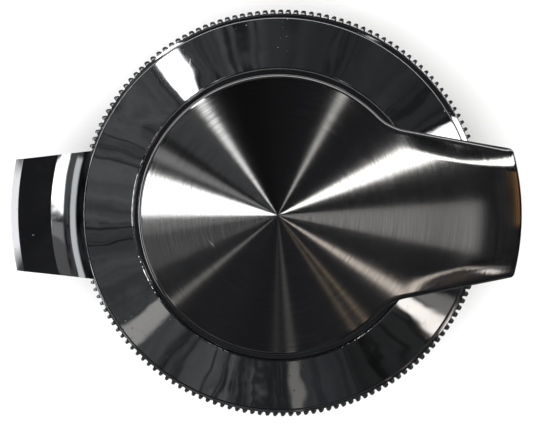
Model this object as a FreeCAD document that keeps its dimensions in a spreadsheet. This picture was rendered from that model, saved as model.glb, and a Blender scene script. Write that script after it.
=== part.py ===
import FreeCAD, Part
import math
import os
import re
import Sketcher

# A hinged deck fill cap: a knurled ring screwed into the deck by its threaded neck, a lid that swings
# on a sprung hinge at -X, and a lever on the lid that turns a latch bar under a strike ring.
# Origin: on the fill axis, in the plane of the deck. +Z points up, +X towards the lever's tip.

doc = FreeCAD.newDocument("DeckFillCap")
dims = doc.addObject("Spreadsheet::Sheet", "Dims")
derived = {}
sub_parts = []
ALIKE = 1e-6


def dimension(alias, number, meaning):
    """A driving size: one row of the sheet, in millimetres unless it is a count or an angle."""
    row = 1 + sum(1 for cell in dims.getUsedCells() if cell.startswith("B"))
    dims.set("A%d" % row, meaning)
    dims.set("B%d" % row, str(number))
    dims.setAlias("B%d" % row, alias)


def follows(name, expression):
    """A size that other sizes settle; it can be used by name in later expressions."""
    derived[name] = "(" + spelled_out(expression) + ")"


def spelled_out(expression):
    """The expression in terms of the sheet's own aliases."""
    return re.sub(r"[a-z]\w*", lambda word: derived.get(word.group(), word.group()), str(expression))


def bound(expression):
    """The expression as an object of this document has to write it."""
    aliases = set(dims.getAlias(cell) for cell in dims.getUsedCells() if cell.startswith("B"))
    return re.sub(
        r"[a-z]\w*",
        lambda word: "Dims." + word.group() if word.group() in aliases else word.group(),
        spelled_out(expression),
    )


def size(expression):
    """What the expression comes to now."""
    return float(dims.evalExpression(spelled_out(expression)))


# ---------------------------------------------------------------- driving sizes

dimension("thread_radius", 29.62, "crests of the 2 inch pipe thread on the neck")
dimension("thread_pitch", 2.309, "pitch of the neck thread, 11 per inch")
dimension("thread_depth", 1.48, "depth of the neck thread")
dimension("thread_angle", 55, "angle between the flanks of that thread, in degrees")
dimension("thread_over", 0.3, "reach of its cutter past the crests")
dimension("neck_wall", 3.14, "wall of the neck inside the thread's root")
dimension("neck_length", 21, "neck below the deck")
dimension("pilot_length", 3, "plain pilot at the top of the thread")
dimension("pilot_step", 0.33, "steps in radius from thread to pilot and from pilot to register")
dimension("fit_gap", 0.1, "radial clearance of parts that only locate each other")
dimension("run_gap", 0.05, "radial clearance of a running fit")
dimension("press_gap", 0.02, "what is left between pressed parts")
dimension("overcut", 1, "reach of a cut past the surface that it opens")
dimension("trim_reach", 16, "reach of the cuts beside lever and tab, more than the lever's radius")
dimension("neck_lip", 4.62, "flange of the neck beyond its register in the ring")
dimension("neck_flange", 2.5, "thickness of the neck's flange")
dimension("shelf_height", 3, "ledge of the ring that carries the neck's flange")
dimension("strike_thickness", 2.5, "thickness of the strike ring")
dimension("strike_recess", 1, "strike ring below the ring's top face")
dimension("strike_lip", 4.5, "reach of the strike ring over the neck's bore")
dimension("seat_land", 1.1, "ring's top face inside the gasket's thick rim")
dimension("gasket_width", 3.9, "thick rim of the gasket")
dimension("gasket_height", 2.35, "thick rim of the gasket, top to bottom")
dimension("gasket_web", 0.8, "thin inner flange of the gasket")
dimension("gasket_lap", 2.2, "reach of the gasket's thin flange")
dimension("retainer_thickness", 1.1, "gasket retainer")
dimension("hollow_inset", 4.5, "lid's hollow inside the gasket's seat")
dimension("rim_wall", 3.3, "wall of the lid outside the gasket")
dimension("rim_gap", 0.4, "daylight between the lid's rim and the ring")
dimension("ring_band", 1.6, "ring's top edge beyond the lid, with the teeth")
dimension("ring_foot", 0.5, "bevel under the teeth")
dimension("tooth_height", 0.85, "depth of the knurl")
dimension("tooth_count", 164, "teeth round the ring")
dimension("seal_inset", 3.5, "ring's bearing face outside the deck seal")
dimension("seal_width", 5, "width of the deck seal")
dimension("seal_height", 1.4, "thickness of the deck seal")
dimension("neck_cord", 0.47, "section radius of the neck's O-ring")
dimension("rim_height", 5.6, "height of the lid's upright rim")
dimension("cone_rise", 3.6, "height of the bezel cone")
dimension("rim_round", 0.6, "rounding of the lid's outer edge")
dimension("bezel_round", 0.5, "rounding of the bezel's inner edge")
dimension("recess_depth", 0.8, "disc's seat below the bezel's inner edge")
dimension("lid_plate", 3, "thickness of the lid over its hollow")
dimension("disc_radius", 31, "radius of the brushed disc")
dimension("disc_gap", 0.9, "gap round the disc")
dimension("disc_lift", 0.4, "disc above its seat")
dimension("disc_edge", 3.65, "height of the disc at its rim")
dimension("disc_crown", 2.6, "rise of the disc from rim to centre")
dimension("edge_bevel", 0.9, "polished bevel round the disc and lever")
dimension("blend_radius", 11, "hollow between disc and lever")
dimension("lever_root", 6, "lap of the lever's section over the disc")
dimension("lever_clearance", 0.6, "lever above the bezel")
dimension("lever_overhang", 8.4, "lever beyond the teeth")
dimension("lever_taper", 0.188, "narrowing of each flank of the lever, per unit of its length")
dimension("lever_end", 14.1, "half width of the lever at its tip")
dimension("bend_inset", 1.4, "start of the lever's bend inside the lid's edge")
dimension("lever_bend", 34, "radius of the lever's down-turned end, over the top")
dimension("lever_thickness", 3.4, "lever over the bend")
dimension("hinge_offset", 9, "hinge axis outside the teeth")
dimension("hinge_drop", 2, "hinge axis below the ring's top face")
dimension("pin_radius", 2, "hinge pin")
dimension("ear_radius", 3.4, "ears of the ring")
dimension("ear_width", 2.6, "each ear, along the pin")
dimension("web_root", 2.5, "root of the hinge web, inside the teeth")
dimension("web_step", 1.2, "hinge web level with the ring, outside the teeth")
dimension("knuckle_radius", 3.9, "knuckles of the lid")
dimension("knuckle_width", 2.6, "each knuckle, along the pin")
dimension("bush_wall", 1, "wall of the hinge bushes")
dimension("hinge_gap", 0.3, "side clearance in the hinge")
dimension("spring_room", 5.4, "half the space between the ears")
dimension("wire_radius", 0.5, "wire of the hinge spring")
dimension("coil_radius", 3, "hinge spring, to the middle of its wire")
dimension("coil_turns", 8, "turns of the hinge spring")
dimension("leg_turn", 0.25, "part of a turn between its legs")
dimension("tab_reach", 14.8, "tab beyond the teeth")
dimension("tab_root", 14.2, "half width of the tab at the lid")
dimension("tab_end", 12.3, "half width of the tab at its end")
dimension("tab_wall", 1.25, "thickness of the tab over the hinge")
dimension("tab_bevel", 1.7, "bright bevel of the tab's end, along the top")
dimension("tab_skirt", 4, "lip at the tab's end, top to bottom")
dimension("tab_lip", 1.4, "thickness of that lip")
dimension("tab_hollow", 7.4, "length of the hollow between rim and tab")
dimension("clip_thickness", 0.6, "retaining clips of the hinge pin")
dimension("clip_mouth", 0.8, "half the mouth of those clips")
dimension("shaft_radius", 5, "spindle")
dimension("flange_radius", 12, "flange of the spindle")
dimension("flange_thickness", 2, "flange of the spindle")
dimension("bush_radius", 6.5, "outside of the spindle bush")
dimension("boss_radius", 9.5, "boss under the lid")
dimension("boss_drop", 1, "boss below the ring's top face")
dimension("bush_flange", 0.8, "thickness of the spindle bush's flange")
dimension("bush_reach", 2, "flange of the spindle bush beyond its barrel")
dimension("spindle_cord", 0.9, "section radius of the spindle's O-ring")
dimension("wear_width", 5, "nylon wear ring")
dimension("wear_height", 1.1, "nylon wear ring")
dimension("wear_inset", 2.5, "nylon wear ring inside the disc's edge")
dimension("stop_circle", 15, "stop pin from the spindle's axis")
dimension("stop_radius", 1.5, "stop pin")
dimension("stop_reach", 2.4, "stop pin above the disc's underside")
dimension("stop_depth", 1.6, "slot of the stop pin")
dimension("quarter_turn", 90, "turn of the lever, in degrees")
dimension("latch_gap", 0.3, "latch bar below the strike ring")
dimension("latch_thickness", 2.6, "latch bar")
dimension("latch_width", 12, "latch bar")
dimension("latch_play", 1.5, "latch bar inside the neck's bore")
dimension("slot_play", 1.2, "entry slots beside the latch bar")
dimension("square_side", 7, "square of the spindle, across its flats")
dimension("stud_radius", 3, "threaded end of the spindle")
dimension("stud_end", 1, "threaded end beyond the nut")
dimension("washer_thickness", 1, "washer under the nut")
dimension("nut_flats", 10, "latch nut across its flats")
dimension("nut_height", 5, "latch nut")
dimension("strike_screw", 1.25, "shank radius of the strike ring's screws")
dimension("strike_head", 1.9, "head radius of the strike ring's screws")
dimension("strike_screw_count", 4, "strike ring's screws")
dimension("screw_inset", 2.35, "circle of those screws outside the ring's bore")
dimension("screw_tail", 0.8, "height of those screws' tips")
dimension("retainer_screw", 1, "shank radius of the retainer's screws")
dimension("retainer_head", 1.7, "head radius of the retainer's screws")
dimension("retainer_screw_reach", 3.4, "retainer's screws inside the lid")
dimension("retainer_screw_count", 6, "retainer's screws")
dimension("spindle_screw", 1.25, "shank radius of the spindle's screws")
dimension("spindle_head", 2.3, "head radius of the spindle's screws")
dimension("spindle_screw_reach", 1.9, "spindle's screws inside the disc")
dimension("spindle_screw_count", 3, "spindle's screws")
dimension("clip_radius", 3.2, "outside of the retaining clips")
dimension("clip_bore", 1.4, "inside of the retaining clips")
dimension("spring_leg", 3.8, "legs of the hinge spring")
dimension("wave_height", 0.7, "wave washer, from its middle to a crest")
dimension("wave_sheet", 0.4, "wave washer's sheet")
dimension("wave_crests", 3, "crests of the wave washer")
doc.recompute()

# ---------------------------------------------------------------- sizes that follow

follows("pilot_radius", "thread_radius + pilot_step")
follows("neck_bore", "thread_radius - thread_depth - neck_wall")
follows("register_radius", "pilot_radius + pilot_step")
follows("neck_lip_radius", "register_radius + neck_lip")
follows("ring_bore", "register_radius + fit_gap")
follows("seat_radius", "neck_lip_radius + fit_gap")
follows("strike_bottom", "shelf_height + neck_flange")
follows("strike_top", "strike_bottom + strike_thickness")
follows("ring_top", "strike_top + strike_recess")
follows("gasket_inner", "seat_radius + seat_land")
follows("gasket_outer", "gasket_inner + gasket_width")
follows("channel_radius", "gasket_outer + 2 * fit_gap")
follows("lid_radius", "channel_radius + rim_wall")
follows("ring_radius", "lid_radius + ring_band")
follows("seal_outer", "ring_radius - seal_inset")
follows("seal_inner", "seal_outer - seal_width")

follows("rim_bottom", "ring_top + rim_gap")
follows("rim_top", "rim_bottom + rim_height")
follows("bezel_top", "rim_top + cone_rise")
follows("recess_floor", "bezel_top - recess_depth")
follows("recess_radius", "disc_radius + disc_gap")
follows("channel_top", "ring_top + press_gap + gasket_height")
follows("retainer_top", "channel_top - gasket_web")
follows("retainer_bottom", "retainer_top - retainer_thickness")
follows("hollow_radius", "seat_radius - hollow_inset")
follows("hollow_top", "recess_floor - lid_plate")
follows("boss_bottom", "ring_top - boss_drop")

follows("disc_bottom", "recess_floor + disc_lift")
follows("disc_shoulder", "disc_bottom + disc_edge")
follows("disc_peak", "disc_shoulder + disc_crown")
follows("lever_radius", "ring_radius + lever_overhang")
follows("bend_start", "lid_radius - bend_inset")
follows("side_reach", "lever_radius + trim_reach")

follows("hinge_x", "-(ring_radius + hinge_offset)")
follows("hinge_z", "ring_top - hinge_drop")
follows("ear_outer", "spring_room + hinge_gap + ear_width")
follows("knuckle_inner", "ear_outer + hinge_gap")
follows("knuckle_outer", "knuckle_inner + knuckle_width")
follows("clip_inner", "knuckle_outer + hinge_gap / 2")
follows("pin_half", "clip_inner + 2 * clip_thickness")
follows("bush_outer", "pin_radius + run_gap + bush_wall")
follows("tab_radius", "ring_radius + tab_reach")
follows("tab_under", "hinge_z + ear_radius + hinge_gap + run_gap")
follows("tab_top", "tab_under + tab_wall")

follows("shaft_bore", "shaft_radius + run_gap")
follows("bush_lip", "bush_radius + bush_reach")
follows("cord_room", "shaft_bore + 2 * spindle_cord + run_gap")
follows("cord_seat", "recess_floor - 2 * spindle_cord - fit_gap")
follows("latch_top", "strike_bottom - latch_gap")
follows("latch_bottom", "latch_top - latch_thickness")
follows("latch_reach", "neck_bore - latch_play")
follows("square_top", "boss_bottom - bush_flange - 2 * fit_gap")
follows("bay_face", "hinge_x + coil_radius + wire_radius + run_gap")
follows("cord_bottom", "shelf_height / 2 - neck_cord - run_gap")
follows("cord_top", "shelf_height / 2 + neck_cord + run_gap")
follows("thread_flank", "tan(thread_angle / 2) * (thread_depth + thread_over)")
follows("strike_screw_circle", "ring_bore + screw_inset")
follows("web_inner", "gasket_inner - gasket_lap")
follows("retainer_screw_circle", "(hollow_radius + web_inner) / 2")
follows("retainer_tip", "retainer_top + retainer_screw_reach")
follows("wear_outer", "disc_radius - wear_inset")
follows("wear_inner", "wear_outer - wear_width")
follows("wear_floor", "disc_bottom - run_gap - wear_height")
follows("flange_top", "disc_bottom + flange_thickness")
follows("spindle_screw_circle", "(shaft_radius + flange_radius) / 2")
follows("spindle_screw_tip", "flange_top + spindle_screw_reach")
follows("stop_top", "disc_bottom + stop_reach")
follows("stop_across", "stop_circle / sqrt(2)")
follows("lever_bottom", "bezel_top + lever_clearance")
follows("disc_edge_radius", "disc_radius - edge_bevel")
follows("tip_x", "sqrt(lever_radius^2 - lever_end^2)")
follows("flank_y", "1 / sqrt(1 + lever_taper^2)")
follows("flank_x", "lever_taper * flank_y")
follows("blend_out", "flank_x * tip_x + flank_y * lever_end + blend_radius")
follows("blend_circle", "disc_radius + blend_radius")
follows("blend_along", "sqrt(blend_circle^2 - blend_out^2)")
follows("blend_x", "blend_out * flank_x + blend_along * flank_y")
follows("blend_y", "blend_out * flank_y - blend_along * flank_x")
follows("lean", "disc_crown / disc_radius")
follows("bend_top", "disc_shoulder - (bend_start - disc_radius) * lean")
follows("bend_x", "bend_start - lever_bend * lean / sqrt(1 + lean^2)")
follows("bend_z", "bend_top - lever_bend / sqrt(1 + lean^2)")
follows("inner_bend", "lever_bend - lever_thickness")
follows("tip_sine", "(lever_radius - bend_x) / lever_bend")
follows("tip_cosine", "sqrt(1 - tip_sine^2)")
follows("hollow_rim", "rim_top - rim_round")
follows("hollow_curve", "(tab_hollow^2 + (hollow_rim - tab_top)^2) / (hollow_rim - tab_top) / 2")
follows("nut_top", "latch_bottom - washer_thickness")
follows("nut_bottom", "nut_top - nut_height")

# ---------------------------------------------------------------- how pieces are drawn


def new_body(name):
    body = doc.addObject("PartDesign::Body", name)
    body.Label = name
    sub_parts.append(body)
    return body


def origin_item(body, role):
    """The body's own origin plane or axis of that role."""
    return next(item for item in body.Origin.OriginFeatures if item.Role == role)


def new_sketch(body, name, role, offset=None):
    """An empty sketch on one of the body's origin planes, or lifted off it by an expression."""
    sketch = body.newObject("Sketcher::SketchObject", name)
    sketch.AttachmentSupport = [(origin_item(body, role), "")]
    sketch.MapMode = "FlatFace"
    if offset is not None:
        sketch.setExpression("AttachmentOffset.Base.z", bound(offset))
    return sketch


def hold(sketch, kind, *target, value="0"):
    """One driving constraint, bound to its expression."""
    index = sketch.addConstraint(Sketcher.Constraint(kind, *target, size(value)))
    if spelled_out(value) != "0":
        sketch.setExpression("Constraints[%d]" % index, bound(value))


def loop(sketch, *corners):
    """A closed run of straight edges through corners given as pairs of expressions. A corner's third
    value, if it has one, is the radius of an arc to the next corner: positive turns left."""
    first = sketch.GeometryCount
    count = len(corners)
    points = [FreeCAD.Vector(size(corner[0]), size(corner[1]), 0) for corner in corners]
    for index, corner in enumerate(corners):
        start, end = points[index], points[(index + 1) % count]
        if len(corner) == 2:
            sketch.addGeometry(Part.LineSegment(start, end), False)
        else:
            sketch.addGeometry(arc_between(start, end, size(corner[2])), False)
    for index, corner in enumerate(corners):
        edge = first + index
        follower = first + (index + 1) % count
        turns_right = len(corner) == 3 and size(corner[2]) < 0
        begins_right = len(corners[(index + 1) % count]) == 3 and size(corners[(index + 1) % count][2]) < 0
        last = 1 if turns_right else 2
        next_start = 2 if begins_right else 1
        sketch.addConstraint(Sketcher.Constraint("Coincident", edge, last, follower, next_start))
        hold(sketch, "DistanceX", -1, 1, edge, 2 if turns_right else 1, value=corner[0])
        hold(sketch, "DistanceY", -1, 1, edge, 2 if turns_right else 1, value=corner[1])
        if len(corner) == 3:
            hold(sketch, "Radius", edge, value=str(corner[2]).lstrip("-"))


def arc_between(start, end, radius):
    """The shorter arc from start to end; its centre is on the left for a positive radius."""
    chord = end - start
    across = FreeCAD.Vector(-chord.y, chord.x, 0).normalize()
    reach = math.sqrt(max(radius * radius - chord.Length ** 2 / 4, 0))
    centre = (start + end) * 0.5 + across * math.copysign(reach, radius)
    ends = [math.atan2(point.y - centre.y, point.x - centre.x) for point in (start, end)]
    if radius < 0:
        ends.reverse()
    circle = Part.Circle(centre, FreeCAD.Vector(0, 0, 1), abs(radius))
    return Part.ArcOfCircle(circle, ends[0], ends[1])


def ring(sketch, x, y, radius):
    """A circle about the point x, y."""
    centre = FreeCAD.Vector(size(x), size(y), 0)
    edge = sketch.addGeometry(Part.Circle(centre, FreeCAD.Vector(0, 0, 1), size(radius)), False)
    hold(sketch, "Radius", edge, value=radius)
    hold(sketch, "DistanceX", -1, 1, edge, 3, value=x)
    hold(sketch, "DistanceY", -1, 1, edge, 3, value=y)


def feature(body, kind, name, sketch, **settings):
    """A PartDesign feature on a sketch. Settings given as text are expressions."""
    made = body.newObject("PartDesign::" + kind, name)
    made.Profile = sketch
    for key, value in settings.items():
        if isinstance(value, str) and key != "SideType":
            made.setExpression(key, bound(value))
        else:
            setattr(made, key, value)
    return made


def turned(body, name, *corners, sweep="360", kind="Revolution"):
    """A section in the XZ plane, turned about Z; a part turn lies evenly about that plane."""
    sketch = new_sketch(body, name + "_section", "XZ_Plane")
    loop(sketch, *corners)
    middle = sweep != "360"
    axis = (sketch, ["V_Axis"])
    return feature(body, kind, name, sketch, ReferenceAxis=axis, Angle=sweep, Midplane=middle)


def along_pin(body, name, kind, width, draw):
    """A pad or pocket of a drawing in the XZ plane, evenly to both sides of that plane."""
    sketch = new_sketch(body, name + "_outline", "XZ_Plane")
    draw(sketch)
    return feature(body, kind, name, sketch, Length=width, SideType="Symmetric")


def upward(body, name, kind, bottom, top, draw):
    """A pad or pocket of a drawing, from one height up to another."""
    sketch = new_sketch(body, name + "_outline", "XY_Plane", offset=bottom)
    draw(sketch)
    length = "%s - (%s)" % (top, bottom)
    return feature(body, kind, name, sketch, Length=length, Reversed=kind == "Pocket")


def around(body, *originals, count):
    """The features again, evenly round Z."""
    pattern = body.newObject("PartDesign::PolarPattern", originals[0].Name + "_pattern")
    pattern.Originals = list(originals)
    pattern.Axis = (origin_item(body, "Z_Axis"), [""])
    pattern.Angle = 360
    pattern.setExpression("Occurrences", bound(count))
    body.Tip = pattern
    return pattern


def mirrored(body, *originals):
    """The features again, on the other side of the XZ plane."""
    mirror = body.newObject("PartDesign::Mirrored", originals[0].Name + "_mirror")
    mirror.Originals = list(originals)
    mirror.MirrorPlane = (origin_item(body, "XZ_Plane"), [""])
    body.Tip = mirror
    return mirror


def rounded(body, name, circle_radius, height, radius):
    """A fillet on the circle about Z at that radius and height."""
    doc.recompute()
    base = body.Tip
    centre = FreeCAD.Vector(0, 0, size(height))
    wanted = Part.Circle(centre, FreeCAD.Vector(0, 0, 1), size(circle_radius))
    edges = []
    for number, edge in enumerate(base.Shape.Edges, 1):
        same = isinstance(edge.Curve, Part.Circle) and math.isclose(edge.Curve.Radius, wanted.Radius)
        if same and edge.Curve.Center.isEqual(centre, wanted.Radius * ALIKE):
            edges.append("Edge%d" % number)
    made = body.newObject("PartDesign::Fillet", name)
    made.Base = (base, edges)
    made.setExpression("Radius", bound(radius))
    return made


def beside(body, name, kind, inner, outer, draw):
    """A pad or pocket of a drawing in the XZ plane, between two distances from it, on both sides."""
    sketch = new_sketch(body, name + "_outline", "XZ_Plane", offset=inner)
    draw(sketch)
    length = "%s - (%s)" % (outer, inner)
    made = feature(body, kind, name, sketch, Length=length, Reversed=kind == "Pocket")
    return mirrored(body, made)


def box_loop(sketch, left, right, bottom, top):
    loop(sketch, (left, bottom), (right, bottom), (right, top), (left, top))


def countersunk(body, kind, name, circle, head_level, length, shank, head, sign):
    """A countersunk screw, or the hole for one, at +X on a circle about Z. The sign is that of the
    head's outward side."""
    level = "%s - (%s) * " % (head_level, sign)
    sketch = new_sketch(body, name + "_section", "XZ_Plane")
    sketch.setExpression("AttachmentOffset.Base.x", bound(circle))
    loop(
        sketch,
        ("0", head_level),
        (head, head_level),
        (shank, level + "(%s - (%s))" % (head, shank)),
        (shank, level + "(%s)" % length),
        ("0", level + "(%s)" % length),
    )
    return feature(body, kind, name, sketch, ReferenceAxis=(sketch, ["V_Axis"]), Angle="360")


def side_trim(body, name, flank, side):
    """Cuts both sides of a part-turned arm along its flank, given from the root corner to the tip's."""
    beyond = "%s + (%s) * side_reach" % (flank[-1][0], side)
    wide = "%s + side_reach" % flank[0][1]
    sketch = new_sketch(body, name + "_outline", "XY_Plane", offset="0")
    loop(sketch, *flank, (beyond, flank[-1][1]), (beyond, wide), (flank[0][0], wide))
    made = feature(body, "Pocket", name, sketch, Length="disc_peak + overcut", Reversed=True)
    return mirrored(body, made)


def plain_feature(name, shape):
    """A sub-part whose shape no sketch describes."""
    made = doc.addObject("Part::Feature", name)
    made.Label = name
    made.Shape = shape
    sub_parts.append(made)
    return made


# ---------------------------------------------------------------- fixed body


def base_ring():
    body = new_body("base_ring")
    turned(
        body, "ring_turning",
        ("ring_bore", "0"),
        ("ring_radius - ring_foot", "0"),
        ("ring_radius", "ring_foot"),
        ("ring_radius", "ring_top - ring_band", "ring_band"),
        ("ring_radius - ring_band", "ring_top"),
        ("seat_radius", "ring_top"),
        ("seat_radius", "shelf_height"),
        ("ring_bore", "shelf_height"),
    )
    turned(
        body, "seal_recess",
        ("seal_inner - fit_gap", "-overcut"),
        ("seal_outer + fit_gap", "-overcut"),
        ("seal_outer + fit_gap", "seal_height"),
        ("seal_inner - fit_gap", "seal_height"),
        kind="Groove",
    )
    turned(
        body, "cord_groove",
        ("register_radius", "cord_bottom"),
        ("register_radius + 2 * neck_cord + fit_gap", "cord_bottom"),
        ("register_radius + 2 * neck_cord + fit_gap", "cord_top"),
        ("register_radius", "cord_top"),
        kind="Groove",
    )
    tapped = upward(
        body, "tapped_hole", "Pocket", "screw_tail - fit_gap", "shelf_height",
        lambda sketch: ring(sketch, "strike_screw_circle", "0", "strike_screw + press_gap"),
    )
    around(body, tapped, count="strike_screw_count")
    along_pin(
        body, "hinge_ears", "Pad", "2 * ear_outer",
        lambda sketch: ring(sketch, "hinge_x", "hinge_z", "ear_radius"),
    )
    along_pin(
        body, "hinge_web", "Pad", "2 * ear_outer",
        lambda sketch: loop(
            sketch,
            ("hinge_x", "hinge_z - ear_radius"),
            ("-ring_radius + web_root", "2 * ring_foot"),
            ("-ring_radius + web_root", "ring_top - fit_gap"),
            ("-ring_radius - web_step", "ring_top - fit_gap"),
            ("hinge_x", "hinge_z + ear_radius"),
        ),
    )
    upward(
        body, "spring_bay", "Pocket", "0", "ring_top + ear_radius",
        lambda sketch: box_loop(
            sketch, "hinge_x - ear_radius - overcut", "bay_face", "-spring_room", "spring_room"
        ),
    )
    along_pin(
        body, "pin_hole", "Pocket", "2 * (ear_outer + overcut)",
        lambda sketch: ring(sketch, "hinge_x", "hinge_z", "pin_radius + press_gap"),
    )
    half_gap = "pi * ring_radius / tooth_count / 2"
    gap = upward(
        body, "knurl_gap", "Pocket", "0", "ring_top",
        lambda sketch: box_loop(
            sketch, "ring_radius - tooth_height", "ring_radius + overcut", "-" + half_gap, half_gap
        ),
    )
    around(body, gap, count="tooth_count")


def threaded_neck():
    body = new_body("threaded_neck")
    turned(
        body, "neck_turning",
        ("neck_bore", "-neck_length"),
        ("thread_radius - thread_depth", "-neck_length"),
        ("thread_radius", "-neck_length + thread_depth"),
        ("thread_radius", "-pilot_length"),
        ("pilot_radius", "-pilot_length"),
        ("pilot_radius", "0"),
        ("register_radius", "0"),
        ("register_radius", "shelf_height"),
        ("neck_lip_radius", "shelf_height"),
        ("neck_lip_radius", "strike_bottom"),
        ("neck_bore", "strike_bottom"),
    )
    hole = upward(
        body, "screw_hole", "Pocket", "shelf_height - overcut", "strike_bottom",
        lambda sketch: ring(sketch, "strike_screw_circle", "0", "strike_screw + fit_gap"),
    )
    around(body, hole, count="strike_screw_count")
    section = new_sketch(body, "thread_section", "XZ_Plane")
    loop(
        section,
        ("thread_radius + thread_over", "-neck_length - thread_pitch - thread_flank"),
        ("thread_radius + thread_over", "-neck_length - thread_pitch + thread_flank"),
        ("thread_radius - thread_depth", "-neck_length - thread_pitch"),
    )
    feature(
        body, "SubtractiveHelix", "thread", section,
        ReferenceAxis=(section, ["V_Axis"]),
        Pitch="thread_pitch",
        Height="neck_length - pilot_length",
    )


def neck_seal():
    body = new_body("neck_seal")
    sketch = new_sketch(body, "cord", "XZ_Plane")
    ring(sketch, "register_radius + press_gap + neck_cord", "shelf_height / 2", "neck_cord")
    feature(body, "Revolution", "seal", sketch, ReferenceAxis=(sketch, ["V_Axis"]), Angle="360")


def washer(name, inner, outer, bottom, top):
    """A plain turned ring of rectangular section."""
    body = new_body(name)
    turned(body, name + "_turning", (inner, bottom), (outer, bottom), (outer, top), (inner, top))
    return body


def deck_seal():
    washer("deck_seal", "seal_inner", "seal_outer", "0", "seal_height - press_gap")


def strike_ring():
    body = washer(
        "strike_ring", "neck_bore - strike_lip", "neck_lip_radius", "strike_bottom", "strike_top"
    )
    half_slot = "(latch_width / 2 + slot_play)"
    upward(
        body, "entry_slots", "Pocket", "strike_bottom", "strike_top",
        lambda sketch: box_loop(sketch, "-" + half_slot, half_slot, "-neck_bore", "neck_bore"),
    )
    hole = countersunk(
        body, "Groove", "screw_hole", "strike_screw_circle", "strike_top",
        "strike_thickness + overcut", "strike_screw + fit_gap", "strike_head + fit_gap", "1",
    )
    around(body, hole, count="strike_screw_count")


def strike_screws():
    body = new_body("strike_screws")
    first = countersunk(
        body, "Revolution", "strike_screw", "strike_screw_circle", "strike_top",
        "strike_top - screw_tail", "strike_screw", "strike_head", "1",
    )
    around(body, first, count="strike_screw_count")


def hinge_pin():
    body = new_body("hinge_pin")
    along_pin(
        body, "pin", "Pad", "2 * pin_half",
        lambda sketch: ring(sketch, "hinge_x", "hinge_z", "pin_radius"),
    )

    def rings(sketch):
        ring(sketch, "hinge_x", "hinge_z", "pin_radius + overcut")
        ring(sketch, "hinge_x", "hinge_z", "clip_bore - press_gap")

    beside(body, "clip_groove", "Pocket", "clip_inner", "clip_inner + clip_thickness", rings)


def hinge_clips():
    body = new_body("hinge_clips")

    def rings(sketch):
        ring(sketch, "hinge_x", "hinge_z", "clip_radius")
        ring(sketch, "hinge_x", "hinge_z", "clip_bore")

    level = ("clip_inner + press_gap", "clip_inner + clip_thickness - press_gap")
    beside(body, "clip", "Pad", *level, rings)
    beside(
        body, "clip_mouth", "Pocket", *level,
        lambda sketch: box_loop(
            sketch, "hinge_x - clip_mouth", "hinge_x + clip_mouth",
            "hinge_z - clip_radius - overcut", "hinge_z",
        ),
    )


def hinge_spring():
    """A coil round the pin. One leg lifts the tab behind the pin, the other bears on the ring."""
    half = size("spring_room - wire_radius - hinge_gap")
    turns = size("coil_turns + leg_turn")
    coil = Part.makeHelix(2 * half / turns, 2 * half, size("coil_radius"), 0, True)
    # The helix stands on Z and starts at +X: it is laid along the pin to start over the hinge axis.
    coil.Placement = FreeCAD.Placement(
        FreeCAD.Vector(size("hinge_x"), half, size("hinge_z")),
        FreeCAD.Rotation(FreeCAD.Vector(0, 0, 1), FreeCAD.Vector(-1, 0, 0), FreeCAD.Vector(0, -1, 0)),
    )
    begins = coil.Edges[0]
    ends = coil.Edges[-1]
    lead = begins.tangentAt(begins.FirstParameter) * size("spring_leg")
    trail = ends.tangentAt(ends.LastParameter) * size("spring_leg")
    first = begins.valueAt(begins.FirstParameter)
    last = ends.valueAt(ends.LastParameter)
    lid_leg = Part.makeLine(first - lead, first)
    ring_leg = Part.makeLine(last, last + trail)
    path = Part.Wire([lid_leg] + coil.Edges + [ring_leg])
    section = Part.Wire(Part.makeCircle(size("wire_radius"), first - lead, lead))
    plain_feature("hinge_spring", path.makePipeShell([section], True, False))


# ---------------------------------------------------------------- lid


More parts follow.
